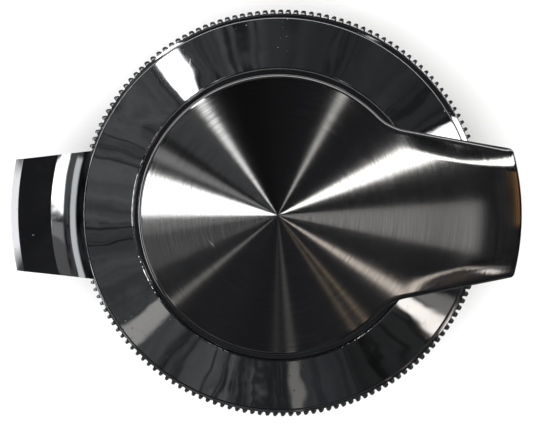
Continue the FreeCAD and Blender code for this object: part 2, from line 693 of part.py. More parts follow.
def lid_shell():
    body = new_body("lid_shell")
    turned(
        body, "shell_turning",
        ("bush_radius + press_gap", "boss_bottom"),
        ("boss_radius", "boss_bottom"),
        ("boss_radius", "hollow_top"),
        ("hollow_radius", "hollow_top"),
        ("hollow_radius", "retainer_top"),
        ("web_inner - fit_gap", "retainer_top"),
        ("web_inner - fit_gap", "channel_top"),
        ("channel_radius", "channel_top"),
        ("channel_radius", "rim_bottom"),
        ("lid_radius", "rim_bottom"),
        ("lid_radius", "rim_top"),
        ("recess_radius", "bezel_top"),
        ("recess_radius", "recess_floor"),
        ("wear_outer + fit_gap", "recess_floor"),
        ("wear_outer + fit_gap", "wear_floor"),
        ("wear_inner - fit_gap", "wear_floor"),
        ("wear_inner - fit_gap", "recess_floor"),
        ("cord_room", "recess_floor"),
        ("cord_room", "cord_seat"),
        ("bush_radius + press_gap", "cord_seat"),
    )
    rounded(body, "rim_edge", "lid_radius", "rim_top", "rim_round")
    rounded(body, "bezel_edge", "recess_radius", "bezel_top", "bezel_round")
    turned(
        body, "tab",
        ("-(lid_radius - rim_wall / 2)", "tab_under"),
        ("-(tab_radius - tab_lip)", "tab_under"),
        ("-(tab_radius - tab_lip)", "tab_top - tab_skirt"),
        ("-tab_radius", "tab_top - tab_skirt"),
        ("-tab_radius", "tab_top - tab_bevel"),
        ("-(tab_radius - tab_bevel)", "tab_top"),
        ("-(lid_radius + tab_hollow)", "tab_top", "hollow_curve"),
        ("-lid_radius", "hollow_rim"),
        ("-(lid_radius - rim_wall / 2)", "hollow_rim"),
        sweep="2 * asin(tab_root / (lid_radius - rim_wall / 2))",
    )
    root = ("-sqrt(lid_radius^2 - tab_root^2)", "tab_root")
    tip = ("-sqrt(tab_radius^2 - tab_end^2)", "tab_end")
    side_trim(body, "tab_flanks", (root, tip), "-1")
    knuckle = ("knuckle_inner", "knuckle_outer")
    beside(
        body, "knuckle", "Pad", *knuckle,
        lambda sketch: ring(sketch, "hinge_x", "hinge_z", "knuckle_radius"),
    )
    beside(
        body, "knuckle_root", "Pad", *knuckle,
        lambda sketch: box_loop(
            sketch, "hinge_x - knuckle_radius", "hinge_x + knuckle_radius",
            "hinge_z", "tab_under + hinge_gap",
        ),
    )
    beside(
        body, "bush_hole", "Pocket", "knuckle_inner - overcut", "knuckle_outer + overcut",
        lambda sketch: ring(sketch, "hinge_x", "hinge_z", "bush_outer + press_gap"),
    )
    turned(
        body, "stop_slot",
        ("stop_circle - stop_radius - hinge_gap", "recess_floor - stop_depth"),
        ("stop_circle + stop_radius + hinge_gap", "recess_floor - stop_depth"),
        ("stop_circle + stop_radius + hinge_gap", "recess_floor + overcut"),
        ("stop_circle - stop_radius - hinge_gap", "recess_floor + overcut"),
        sweep="quarter_turn + 2 * (stop_radius + hinge_gap) / stop_circle * 180 / pi",
        kind="Groove",
    )
    hole = upward(
        body, "retainer_hole", "Pocket", "retainer_top", "retainer_tip + fit_gap",
        lambda sketch: ring(sketch, "retainer_screw_circle", "0", "retainer_screw + press_gap"),
    )
    around(body, hole, count="retainer_screw_count")


def hinge_bushes():
    body = new_body("hinge_bushes")

    def rings(sketch):
        ring(sketch, "hinge_x", "hinge_z", "bush_outer")
        ring(sketch, "hinge_x", "hinge_z", "pin_radius + run_gap")

    beside(body, "bush", "Pad", "knuckle_inner", "knuckle_outer", rings)


def lid_gasket():
    body = new_body("lid_gasket")
    turned(
        body, "gasket_section",
        ("web_inner", "retainer_top"),
        ("gasket_inner", "retainer_top"),
        ("gasket_inner", "ring_top + press_gap"),
        ("gasket_outer", "ring_top + press_gap"),
        ("gasket_outer", "channel_top"),
        ("web_inner", "channel_top"),
    )


def gasket_retainer():
    body = washer(
        "gasket_retainer", "hollow_radius + fit_gap", "gasket_inner - fit_gap",
        "retainer_bottom", "retainer_top",
    )
    hole = countersunk(
        body, "Groove", "screw_hole", "retainer_screw_circle", "retainer_bottom",
        "retainer_thickness + overcut", "retainer_screw + fit_gap", "retainer_head", "-1",
    )
    around(body, hole, count="retainer_screw_count")


def retainer_screws():
    body = new_body("retainer_screws")
    first = countersunk(
        body, "Revolution", "retainer_screw", "retainer_screw_circle", "retainer_bottom",
        "retainer_tip - retainer_bottom", "retainer_screw", "retainer_head - fit_gap", "-1",
    )
    around(body, first, count="retainer_screw_count")


def spindle_bush():
    body = new_body("spindle_bush")
    turned(
        body, "bush_turning",
        ("shaft_bore", "boss_bottom - bush_flange"),
        ("bush_lip", "boss_bottom - bush_flange"),
        ("bush_lip", "boss_bottom"),
        ("bush_radius", "boss_bottom"),
        ("bush_radius", "cord_seat"),
        ("shaft_bore", "cord_seat"),
    )


def spindle_o_ring():
    body = new_body("spindle_o_ring")
    sketch = new_sketch(body, "cord", "XZ_Plane")
    ring(sketch, "shaft_bore + spindle_cord", "cord_seat + spindle_cord + press_gap", "spindle_cord")
    feature(body, "Revolution", "o_ring", sketch, ReferenceAxis=(sketch, ["V_Axis"]), Angle="360")


def wear_ring():
    washer("wear_ring", "wear_inner", "wear_outer", "wear_floor", "wear_floor + wear_height")


# ---------------------------------------------------------------- handle


def handle():
    body = new_body("handle")
    turned(
        body, "disc_turning",
        ("0", "flange_top"),
        ("flange_radius + fit_gap", "flange_top"),
        ("flange_radius + fit_gap", "disc_bottom"),
        ("disc_radius", "disc_bottom"),
        ("disc_radius", "disc_shoulder - edge_bevel"),
        ("disc_edge_radius", "disc_shoulder + edge_bevel * lean"),
        ("0", "disc_peak"),
    )
    turned(
        body, "lever",
        ("disc_radius - lever_root", "lever_bottom"),
        ("recess_radius + bezel_round", "lever_bottom"),
        ("bend_start", "bend_z + inner_bend", "-inner_bend"),
        ("bend_x + inner_bend * tip_sine", "bend_z + inner_bend * tip_cosine"),
        ("lever_radius", "bend_z + lever_bend * tip_cosine", "lever_bend"),
        ("bend_start", "bend_top"),
        ("disc_radius - lever_root", "disc_shoulder + lever_root * lean"),
        sweep="2 * atan(blend_y / blend_x)",
    )
    share = " * disc_radius / blend_circle"
    hollow_start = ("blend_x" + share, "blend_y" + share, "blend_radius")
    hollow_end = ("blend_x - blend_radius * flank_x", "blend_y - blend_radius * flank_y")
    side_trim(body, "lever_flanks", (hollow_start, hollow_end, ("tip_x", "lever_end")), "1")
    tapped = upward(
        body, "tapped_hole", "Pocket", "flange_top", "spindle_screw_tip + fit_gap",
        lambda sketch: ring(sketch, "spindle_screw_circle", "0", "spindle_screw + press_gap"),
    )
    around(body, tapped, count="spindle_screw_count")
    upward(
        body, "stop_hole", "Pocket", "disc_bottom", "stop_top + fit_gap",
        lambda sketch: ring(sketch, "stop_across", "stop_across", "stop_radius + press_gap"),
    )


def spindle():
    body = new_body("spindle")
    turned(
        body, "spindle_turning",
        ("0", "nut_bottom - stud_end"),
        ("stud_radius", "nut_bottom - stud_end"),
        ("stud_radius", "square_top"),
        ("shaft_radius", "square_top"),
        ("shaft_radius", "disc_bottom"),
        ("flange_radius", "disc_bottom"),
        ("flange_radius", "flange_top"),
        ("0", "flange_top"),
    )
    half = "square_side / 2"
    upward(
        body, "square", "Pad", "latch_bottom", "square_top + fit_gap",
        lambda sketch: box_loop(sketch, "-" + half, half, "-" + half, half),
    )
    hole = countersunk(
        body, "Groove", "screw_hole", "spindle_screw_circle", "disc_bottom",
        "flange_thickness + overcut", "spindle_screw + fit_gap", "spindle_head + fit_gap", "-1",
    )
    around(body, hole, count="spindle_screw_count")


def spindle_screws():
    body = new_body("spindle_screws")
    first = countersunk(
        body, "Revolution", "spindle_screw", "spindle_screw_circle", "disc_bottom",
        "spindle_screw_tip - disc_bottom", "spindle_screw", "spindle_head", "-1",
    )
    around(body, first, count="spindle_screw_count")


def stop_pin():
    body = new_body("stop_pin")
    upward(
        body, "pin", "Pad", "recess_floor - stop_depth + fit_gap", "stop_top",
        lambda sketch: ring(sketch, "stop_across", "stop_across", "stop_radius"),
    )


def wave_washer():
    """A spring washer with crests round it, pressed from sheet."""
    level = size("(latch_top + boss_bottom - bush_flange - wave_sheet) / 2")
    crests = round(size("wave_crests"))
    steps = 12 * crests
    edges = []
    for radius in (size("shaft_radius + hinge_gap"), size("bush_lip - hinge_gap")):
        points = []
        for step in range(steps):
            angle = 2 * math.pi * step / steps
            across, along = radius * math.cos(angle), radius * math.sin(angle)
            rise = size("wave_height") * math.cos(crests * angle)
            points.append(FreeCAD.Vector(across, along, level + rise))
        curve = Part.BSplineCurve()
        curve.interpolate(Points=points, PeriodicFlag=True)
        edges.append(curve.toShape())
    sheet = Part.makeRuledSurface(*edges)
    plain_feature("wave_washer", sheet.extrude(FreeCAD.Vector(0, 0, size("wave_sheet"))))


def latch_bar():
    body = new_body("latch_bar")
    side, end = "latch_width / 2", "sqrt(latch_reach^2 - latch_width^2 / 4)"
    hole = "(square_side / 2 + run_gap)"

    def outline(sketch):
        loop(
            sketch,
            (side, "-" + end),
            (side, end, "latch_reach"),
            ("-" + side, end),
            ("-" + side, "-" + end, "latch_reach"),
        )
        box_loop(sketch, "-" + hole, hole, "-" + hole, hole)

    upward(body, "bar", "Pad", "latch_bottom", "latch_top", outline)


def latch_washer():
    washer("latch_washer", "stud_radius + fit_gap", "latch_width / 2", "nut_top", "latch_bottom")


def latch_nut():
    body = new_body("latch_nut")
    flat, corner = "nut_flats / 2", "nut_flats / sqrt(3)"

    def outline(sketch):
        loop(
            sketch,
            (corner, "0"),
            (corner + " / 2", flat),
            ("-" + corner + " / 2", flat),
            ("-" + corner, "0"),
            ("-" + corner + " / 2", "-" + flat),
            (corner + " / 2", "-" + flat),
        )
        ring(sketch, "0", "0", "stud_radius + press_gap")

    upward(body, "nut", "Pad", "nut_bottom", "nut_top", outline)


# ---------------------------------------------------------------- making and writing

PIECES = (
    base_ring,
    threaded_neck,
    neck_seal,
    deck_seal,
    strike_ring,
    strike_screws,
    hinge_pin,
    hinge_clips,
    hinge_spring,
    lid_shell,
    hinge_bushes,
    lid_gasket,
    gasket_retainer,
    retainer_screws,
    spindle_bush,
    spindle_o_ring,
    wear_ring,
    handle,
    spindle,
    spindle_screws,
    stop_pin,
    wave_washer,
    latch_bar,
    latch_washer,
    latch_nut,
)

for make_piece in PIECES:
    make_piece()
doc.recompute()

for item in doc.Objects:
    if {"Invalid", "Error"} & set(item.State):
        raise RuntimeError("%s failed: %s" % (item.Name, item.State))
for piece in sub_parts:
    if piece.Shape.isNull() or not piece.Shape.isValid() or not piece.Shape.Solids:
        raise RuntimeError("%s has no sound solid" % piece.Label)

os.makedirs("parts", exist_ok=True)
for piece in sub_parts:
    piece.Shape.exportStep("parts/%s.step" % piece.Label)
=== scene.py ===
import math

import bmesh
import bpy
from mathutils import Matrix, Vector


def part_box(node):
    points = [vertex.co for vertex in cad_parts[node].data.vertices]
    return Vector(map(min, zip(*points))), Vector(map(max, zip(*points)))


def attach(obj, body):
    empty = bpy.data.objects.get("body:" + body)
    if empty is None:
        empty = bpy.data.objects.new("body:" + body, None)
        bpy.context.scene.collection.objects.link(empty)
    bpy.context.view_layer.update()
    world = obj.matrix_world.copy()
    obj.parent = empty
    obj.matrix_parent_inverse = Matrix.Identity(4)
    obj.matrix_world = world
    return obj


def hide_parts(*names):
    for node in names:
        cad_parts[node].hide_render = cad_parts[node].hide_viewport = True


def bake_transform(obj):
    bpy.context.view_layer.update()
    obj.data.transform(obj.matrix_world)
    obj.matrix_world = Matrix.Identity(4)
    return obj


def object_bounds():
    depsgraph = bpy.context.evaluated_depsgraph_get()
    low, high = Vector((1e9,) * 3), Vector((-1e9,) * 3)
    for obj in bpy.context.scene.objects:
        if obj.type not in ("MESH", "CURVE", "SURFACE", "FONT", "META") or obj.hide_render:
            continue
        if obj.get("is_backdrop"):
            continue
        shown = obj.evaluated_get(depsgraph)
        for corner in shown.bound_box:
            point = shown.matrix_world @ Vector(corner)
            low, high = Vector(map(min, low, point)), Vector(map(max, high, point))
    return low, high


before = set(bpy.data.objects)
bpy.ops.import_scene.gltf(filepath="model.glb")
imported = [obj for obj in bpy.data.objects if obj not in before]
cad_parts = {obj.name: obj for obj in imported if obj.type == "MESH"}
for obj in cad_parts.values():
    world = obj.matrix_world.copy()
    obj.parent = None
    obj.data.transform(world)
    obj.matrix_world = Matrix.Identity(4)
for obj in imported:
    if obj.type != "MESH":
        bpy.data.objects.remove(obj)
cad_low, cad_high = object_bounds()

# ---- Base ring -----------------------------------------------------------------------------------
# A cast brass ring, turned, knurled round its outside to give the fitter a grip, then chrome plated. It
# clamps on the deck by the neck's flange, and two ears cast on its back edge carry the hinge pin.

MM = 0.001
RING_ROOT = 44.25
RING_OUTSIDE = 45.1
RING_TOP = 9.0
RING_ROUND = 1.6
RING_BORE = 30.38
SEAT_RADIUS = 35.0
SEAT_HEIGHT = 3.0
SEAL_INSIDE, SEAL_OUTSIDE, SEAL_RECESS = 36.5, 41.7, 1.4
TOOTH_COUNT = 164
HINGE_X, HINGE_Z = -54.1, 7.0
EAR_RADIUS, EAR_INSIDE, EAR_OUTSIDE = 3.4, 5.4, 8.3
WEB_ROOT_X, WEB_STEP_X, BAY_X = -42.6, -46.3, -50.55
WEB_BOTTOM, WEB_TOP = 1.0, 8.9
TOOTH_SINK, TOOTH_HALF, TOOTH_NARROWS, TOOTH_CROWN = 0.15, 0.46, 0.13, 0.14
RING_STEPS, SHARP_EDGE = 256, 32
CHROME, HANDLED_CHROME = (0.60, 0.605, 0.62), (0.54, 0.545, 0.55)
# SPECK is the specks' colour; the other is the dark colour of the painted shade in the knurl.
SPECK, KNURL_PAINTED_SHADE = (0.8, 0.8, 0.8), (0.012, 0.012, 0.011)
WAVE_DEPTH, PEEL_DEPTH = 0.0002, 0.00001


class Signal:
    """A socket in a node tree. Arithmetic on it adds Math nodes to the tree."""

    def __init__(self, maker, socket):
        self.maker, self.socket = maker, socket

    def of(self, output):
        """Another output of the same node."""
        return Signal(self.maker, self.socket.node.outputs[output])

    def __add__(self, other):
        return self.maker.maths("ADD", self, other)

    def __sub__(self, other):
        return self.maker.maths("SUBTRACT", self, other)

    def __mul__(self, other):
        return self.maker.maths("MULTIPLY", self, other)

    def __truediv__(self, other):
        return self.maker.maths("DIVIDE", self, other)

    def __rsub__(self, other):
        return self.maker.maths("SUBTRACT", other, self)

    def __rtruediv__(self, other):
        return self.maker.maths("DIVIDE", other, self)

    __radd__ = __add__
    __rmul__ = __mul__


class Tree:
    """A node tree put together node by node."""

    def __init__(self, tree):
        self.tree = tree
        tree.nodes.clear()

    def add(self, kind, settings=None, values=None, output=0):
        """One node of any type: its settings first, then the values or links of its sockets."""
        node = self.tree.nodes.new(kind)
        for name, setting in (settings or {}).items():
            if name == "stops":
                ramp = node.color_ramp
                while len(ramp.elements) < len(setting):
                    ramp.elements.new(0.5)
                for element, (place, colour) in zip(ramp.elements, setting):
                    element.position, element.color = place, (*colour, 1)
            else:
                setattr(node, name, setting)
        for key, value in (values or {}).items():
            if isinstance(value, Signal):
                self.tree.links.new(value.socket, node.inputs[key])
            else:
                node.inputs[key].default_value = value
        return Signal(self, node.outputs[output]) if len(node.outputs) else node

    def maths(self, operation, *terms):
        """A Math node on signals and numbers."""
        return self.add("ShaderNodeMath", {"operation": operation}, dict(enumerate(terms)))

    def between(self, signal, low, high, start=0.0, end=1.0):
        """start below low, end above high, with a soft step between them."""
        return self.add(
            "ShaderNodeMapRange",
            {"interpolation_type": "SMOOTHSTEP"},
            {0: signal, 1: low, 2: high, 3: start, 4: end},
        )

    def blended(self, factor, first, second):
        """A colour between two colours."""
        first, second = ((*c, 1) if isinstance(c, tuple) else c for c in (first, second))
        return self.add("ShaderNodeMix", {"data_type": "RGBA"}, {0: factor, 6: first, 7: second}, output=2)

    def joined(self, x, y, z):
        return self.add("ShaderNodeCombineXYZ", {}, {0: x, 1: y, 2: z})

    def noise(self, place, scale, detail=2.0, roughness=0.5, distortion=0.0):
        values = {"Scale": scale, "Detail": detail, "Roughness": roughness, "Distortion": distortion}
        if place is not None:
            values["Vector"] = place
        return self.add("ShaderNodeTexNoise", {}, values)


class Finish(Tree):
    """A material for one finish, reading the piece's own place in the frame, in metres."""

    def __init__(self, name):
        self.material = bpy.data.materials.new(name)
        self.material.use_nodes = True
        super().__init__(self.material.node_tree)
        self.place = self.add("ShaderNodeTexCoord").of("Object")
        self.across = self.add("ShaderNodeSeparateXYZ", {}, {0: self.place})
        self.along, self.up = self.across.of("Y"), self.across.of("Z")
        self.relief = None

    def polar(self):
        """Distance from the Z axis, and the angle round it."""
        square = self.across * self.across + self.along * self.along
        return self.maths("SQRT", square), self.maths("ARCTAN2", self.along, self.across)

    def turned_lines(self, scale):
        """Fine rings left by a tool or a belt that goes round Z."""
        radius, angle = self.polar()
        return self.noise(self.joined(radius * scale, angle * 1.6, self.up * scale), 1.0, 3.0, 0.6)

    def raised(self, height, depth):
        """A relief of that depth, in metres, over any relief given before it."""
        values = {"Strength": 1.0, "Distance": depth, "Height": height}
        if self.relief is not None:
            values["Normal"] = self.relief
        self.relief = self.add("ShaderNodeBump", {}, values)

    def surface(self, colour, roughness, metallic=1.0, **constants):
        values = {"Base Color": (*colour, 1) if isinstance(colour, tuple) else colour}
        values.update({"Roughness": roughness, "Metallic": metallic})
        values.update({name.replace("_", " "): number for name, number in constants.items()})
        if self.relief is not None:
            values["Normal"] = self.relief
        shader = self.add("ShaderNodeBsdfPrincipled", {}, values)
        self.add("ShaderNodeOutputMaterial", {}, {"Surface": shader})
        return self.material


def mirror_chrome(name, painted_shade_maker=None):
    """Polished chrome plate: slightly wavy, with specks, hairlines and handled patches."""
    finish = Finish(name)
    polishing_waves = finish.noise(finish.place, 55.0, 1.0, 0.4, 0.3)
    orange_peel = finish.noise(finish.place, 260.0, 1.0, 0.4)
    finish.raised(polishing_waves, WAVE_DEPTH)
    finish.raised(orange_peel, PEEL_DEPTH)
    cells = finish.add("ShaderNodeTexVoronoi", {}, {"Vector": finish.place, "Scale": 700.0})
    chosen = finish.noise(finish.place, 90.0, 1.0)
    specks = finish.between(cells, 0.13, 0.06) * finish.between(chosen, 0.56, 0.62)
    finish.raised(specks, PEEL_DEPTH)
    combed = finish.joined(finish.across * 3000.0, finish.along * 260.0, finish.up * 900.0)
    hairs = finish.noise(combed, 1.0, 2.0)
    handled = finish.noise(finish.place, 38.0, 4.0, 0.62)
    roughness = finish.between(handled, 0.42, 0.75, 0.02, 0.075) + specks * 0.25
    roughness = roughness + finish.between(hairs, 0.66, 0.74) * 0.05
    plate = finish.blended(finish.between(handled, 0.4, 0.8), CHROME, HANDLED_CHROME)
    plate = finish.blended(specks, plate, SPECK)
    metallic = 1.0
    # Painted shade where a mask is given: the plate is made darker, rougher and less metallic under it.
    if painted_shade_maker is not None:
        painted_shade_mask = painted_shade_maker(finish)
        plate = finish.blended(painted_shade_mask, plate, KNURL_PAINTED_SHADE)
        roughness = roughness + painted_shade_mask * 0.35
        metallic = 1.0 - painted_shade_mask * 0.85
    return finish.surface(plate, roughness, metallic)


def knurl_root_painted_shade(finish):
    """Painted shade: a mask that darkens and dulls the plate towards the roots of the teeth and below the
    ring's top edge.
    """
    radius, angle = finish.polar()
    patchy = finish.noise(finish.place, 700.0, 3.0, 0.6)
    depth = finish.between(radius + patchy * 0.0003, 0.04490, 0.04435)
    return depth * finish.between(radius, 0.0440, 0.0442) * finish.between(finish.up, 0.0088, 0.0076)


def piece_from(name, points, faces, body, material, slot):
    """A mesh object from points in millimetres, riding on a CAD body."""
    mesh = bpy.data.meshes.new(name)
    mesh.from_pydata([Vector(point) * MM for point in points], [], faces)
    return finished_piece(name, mesh, body, material)


def finished_piece(name, mesh, body, material):
    """A cleaned and smoothed mesh as an object, riding on a CAD body where one is given."""
    work = bmesh.new()
    work.from_mesh(mesh)
    bmesh.ops.remove_doubles(work, verts=work.verts, dist=1e-7)
    bmesh.ops.dissolve_degenerate(work, edges=work.edges, dist=1e-7)
    bmesh.ops.recalc_face_normals(work, faces=work.faces)
    work.to_mesh(mesh)
    work.free()
    mesh.shade_smooth()
    mesh.set_sharp_from_angle(angle=math.radians(SHARP_EDGE))
    mesh.materials.clear()
    mesh.materials.append(material)
    piece = bpy.data.objects.new(name, mesh)
    bpy.context.scene.collection.objects.link(piece)
    if body is not None:
        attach(piece, body)
    return piece


def arc(x, z, radius, start, end, steps):
    """Points of an arc in a section, from one angle in degrees to another."""
    turns = [math.radians(start + (end - start) * step / steps) for step in range(steps + 1)]
    return [(x + radius * math.cos(turn), z + radius * math.sin(turn)) for turn in turns]


def softened(corners, radius=0.12, steps=3):
    """A closed section with each corner rounded, and a close line beside each round to hold flats flat."""
    section = []
    for index, corner in enumerate(corners):
        here = Vector(corner)
        before, after = Vector(corners[index - 1]), Vector(corners[(index + 1) % len(corners)])
        back, on = (before - here), (after - here)
        reach = min(radius, 0.3 * back.length, 0.3 * on.length)
        back, on = back.normalized(), on.normalized()
        section.append(here + back * reach * 1.4)
        for step in range(steps + 1):
            share = step / steps
            start, end = here + back * reach, here + on * reach
            section.append(start.lerp(here, share).lerp(here.lerp(end, share), share))
        section.append(here + on * reach * 1.4)
    return [tuple(point) for point in section]


def lathe(section, steps):
    """Points and faces of a closed section turned about Z."""
    count = len(section)
    points, faces = [], []
    for step in range(steps):
        turn = 2 * math.pi * step / steps
        points += [(r * math.cos(turn), r * math.sin(turn), z) for r, z in section]
    for step in range(steps):
        here, there = step * count, (step + 1) % steps * count
        for index in range(count):
            following = (index + 1) % count
            faces.append((here + index, there + index, there + following, here + following))
    return points, faces


def plate_across(outline, near, far):
    """Points and faces of an outline in x and z, made thick along y."""
    count = len(outline)
    points = [(x, near, z) for x, z in outline] + [(x, far, z) for x, z in outline]
    faces = [(i, (i + 1) % count, count + (i + 1) % count, count + i) for i in range(count)]
    faces += [tuple(range(count)), tuple(range(2 * count - 1, count - 1, -1))]
    return points, faces


def together(*shapes):
    """Several lists of points and faces as one."""
    points, faces = [], []
    for more_points, more_faces in shapes:
        first = len(points)
        points += more_points
        faces += [tuple(first + index for index in face) for face in more_faces]
    return points, faces


class Pattern(Tree):
    """A Geometry Nodes tree with named inputs, used once and then made a plain mesh."""

    def __init__(self, name, **inputs):
        group = bpy.data.node_groups.new(name, "GeometryNodeTree")
        super().__init__(group)
        self.group, self.values = group, {}
        kinds = {int: "NodeSocketInt", float: "NodeSocketFloat", bpy.types.Object: "NodeSocketObject"}
        kinds[bpy.types.Material] = "NodeSocketMaterial"
        group.interface.new_socket("Geometry", in_out="OUTPUT", socket_type="NodeSocketGeometry")
        for label, value in inputs.items():
            kind = next(kinds[known] for known in kinds if isinstance(value, known))
            socket = group.interface.new_socket(label.replace("_", " "), in_out="INPUT", socket_type=kind)
            self.values[socket.identifier] = value
        self.inputs = self.add("NodeGroupInput")

    def asked(self, label):
        return self.inputs.of(label.replace("_", " "))

    def mesh(self, geometry, name):
        """The finished geometry, with instances made real and its material set, as a mesh."""
        real = self.add("GeometryNodeRealizeInstances", {}, {0: geometry})
        values = {"Geometry": real, "Material": self.asked("finish")}
        painted = self.add("GeometryNodeSetMaterial", {}, values)
        self.add("NodeGroupOutput", {}, {0: painted})
        bearer = bpy.data.objects.new(name + "_pattern", bpy.data.meshes.new(name + "_pattern"))
        bpy.context.scene.collection.objects.link(bearer)
        modifier = bearer.modifiers.new(name, "NODES")
        modifier.node_group = self.group
        for identifier, value in self.values.items():
            modifier[identifier] = value
        bpy.context.view_layer.update()
        seen = bearer.evaluated_get(bpy.context.evaluated_depsgraph_get())
        mesh = bpy.data.meshes.new_from_object(seen)
        bearer.modifiers.remove(modifier)
        bpy.data.objects.remove(bearer)
        return mesh


def round_the_axis(name, master, finish, count):
    """The master shape, repeated evenly about Z by a Geometry Nodes tree."""
    pattern = Pattern(name, shape=master, finish=finish, count=count)
    places = pattern.add("GeometryNodePoints", {}, {"Count": pattern.asked("count")})
    shape = pattern.add("GeometryNodeObjectInfo", {}, {"Object": pattern.asked("shape")}).of("Geometry")
    turn = pattern.add("GeometryNodeInputIndex") * (2 * math.pi) / pattern.asked("count")
    values = {"Points": places, "Instance": shape, "Rotation": pattern.joined(0.0, 0.0, turn)}
    mesh = pattern.mesh(pattern.add("GeometryNodeInstanceOnPoints", {}, values), name)
    bpy.data.objects.remove(master)
    return mesh


def add_to(piece, mesh):
    """Adds a mesh, and the faces' smoothness with it, to a piece made before."""
    work = bmesh.new()
    work.from_mesh(piece.data)
    work.from_mesh(mesh)
    work.to_mesh(piece.data)
    work.free()
    piece.data.set_sharp_from_angle(angle=math.radians(SHARP_EDGE))


knurl_chrome = mirror_chrome("knurled_chrome_plate", knurl_root_painted_shade)
ring_section = softened([
    (RING_BORE, 0), (SEAL_INSIDE, 0), (SEAL_INSIDE, SEAL_RECESS),
    (SEAL_OUTSIDE, SEAL_RECESS), (SEAL_OUTSIDE, 0), (RING_ROOT, 0),
])
ring_section += arc(RING_OUTSIDE - RING_ROUND, RING_TOP - RING_ROUND, RING_ROUND, 62, 90, 6)
ring_section += softened([(SEAT_RADIUS, RING_TOP), (SEAT_RADIUS, SEAT_HEIGHT), (RING_BORE, SEAT_HEIGHT)])

web = [(WEB_ROOT_X, WEB_BOTTOM), (WEB_ROOT_X, WEB_TOP), (WEB_STEP_X, WEB_TOP)]
ear = arc(HINGE_X, HINGE_Z, EAR_RADIUS, 90, 270, 24) + web
ear_bottom, ear_top = HINGE_Z - EAR_RADIUS, HINGE_Z + EAR_RADIUS
fall = (WEB_BOTTOM - ear_bottom) / (WEB_ROOT_X - HINGE_X)
slope = (WEB_TOP - ear_top) / (WEB_STEP_X - HINGE_X)
bay_out = BAY_X - HINGE_X
bay = [(BAY_X, ear_bottom + fall * bay_out), *web, (BAY_X, ear_top + slope * bay_out)]
base_ring = piece_from(
    "knurled_ring",
    *together(
        lathe(ring_section, RING_STEPS),
        plate_across(ear, EAR_INSIDE, EAR_OUTSIDE),
        plate_across(ear, -EAR_OUTSIDE, -EAR_INSIDE),
        plate_across(bay, -EAR_OUTSIDE + 0.01, EAR_OUTSIDE - 0.01),
    ),
    "base", knurl_chrome, "chrome_plate",
)
tooth_side = [(RING_ROOT - TOOTH_SINK, 0.1), (RING_ROOT + 0.25, 0.12)]
tooth_side += [(RING_OUTSIDE - 0.12, 0.45), (RING_OUTSIDE, 0.8)]
tooth_side += arc(RING_OUTSIDE - RING_ROUND, RING_TOP - RING_ROUND, RING_ROUND, 0, 58, 5)
tooth_side += [(RING_ROOT - TOOTH_SINK, RING_TOP - 0.25)]
tooth_points, tooth_faces = [], []
for r, z in tooth_side:
    proud = max(r - RING_ROOT, 0) / (RING_OUTSIDE - RING_ROOT)
    for share in (-1, -0.55, 0.55, 1):
        reach = r - TOOTH_CROWN * proud * (abs(share) == 1)
        tooth_points.append((reach, share * (TOOTH_HALF - TOOTH_NARROWS * proud), z))
for row in range(len(tooth_side) - 1):
    for column in range(3):
        first = 4 * row + column
        tooth_faces.append((first, first + 1, first + 5, first + 4))
tooth = piece_from("tooth", tooth_points, tooth_faces, None, knurl_chrome, None)
add_to(base_ring, round_the_axis("knurl", tooth, knurl_chrome, TOOTH_COUNT))
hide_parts("base_ring")

# ---- Deck seal and neck seal ---------------------------------------------------------------------
# A flat rubber washer in the ring's underside keeps water out of the deck, and a rubber O-ring seals the
# neck in the ring's bore. Both are moulded in black nitrile rubber and squeezed when the neck is tightened.


def finish_node(node, material):
    """Gives a carried-over CAD node its finish."""
    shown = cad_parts[node]
    if not shown.material_slots:
        shown.data.materials.append(material)
    for holder in shown.material_slots:
        holder.material = material


def moulded_rubber(name):
    """Black rubber: a fine moulded skin, bloom and a little dust."""
    finish = Finish(name)
    skin = finish.noise(finish.place, 2600.0, 3.0, 0.6)
    ripples = finish.noise(finish.place, 240.0, 2.0)
    finish.raised(ripples, 0.00006)
    finish.raised(skin, 0.00003)
    bloom = finish.between(finish.noise(finish.place, 70.0, 4.0, 0.6), 0.45, 0.75)
    dust = finish.between(finish.noise(finish.place, 1500.0, 2.0), 0.66, 0.75)
    colour = finish.blended(bloom, (0.012, 0.012, 0.013), (0.035, 0.035, 0.036))
    colour = finish.blended(dust, colour, (0.12, 0.115, 0.105))
    return finish.surface(colour, bloom * 0.2 + 0.48, 0.0, Sheen_Weight=0.1, Specular_IOR_Level=0.35)


rubber = moulded_rubber("black_nitrile_rubber")
finish_node("deck_seal", rubber)
finish_node("neck_seal", rubber)

# ---- Threaded neck -------------------------------------------------------------------------------
# A cast brass tube with a 2 inch pipe thread, turned inside and out. It screws down through the deck from
# above, and its flange pulls the base ring against the seal.


def turned_metal(name, bright, dull, roughness, line_scale, line_depth):
    """A turned or rolled metal: tool lines, tarnish in patches and worn high spots."""
    finish = Finish(name)
    lines = finish.turned_lines(line_scale)
    grain = finish.noise(finish.place, 1900.0, 3.0, 0.6)
    tarnish = finish.between(finish.noise(finish.place, 60.0, 5.0, 0.65, 0.4), 0.42, 0.68)
    finish.raised(lines, line_depth)
    finish.raised(grain, line_depth * 0.4)
    colour = finish.blended(tarnish, bright, dull)
    colour = finish.blended(finish.between(lines, 0.5, 0.75) * 0.35, colour, bright)
    rough = tarnish * 0.16 + finish.between(lines, 0.3, 0.7) * 0.08 + roughness
    return finish.surface(colour, rough, 1.0 - tarnish * 0.15)


BRASS, DULL_BRASS = (0.72, 0.50, 0.22), (0.36, 0.23, 0.10)
brass = turned_metal("turned_cast_brass", BRASS, DULL_BRASS, 0.22, 4200.0, 0.000015)
finish_node("threaded_neck", brass)

# ---- Strike ring and its screws ------------------------------------------------------------------
# A flat ring turned from stainless plate, with two slots that let the latch bar through, and lips that it
# turns under. Four countersunk stainless screws hold it down on the neck's flange.

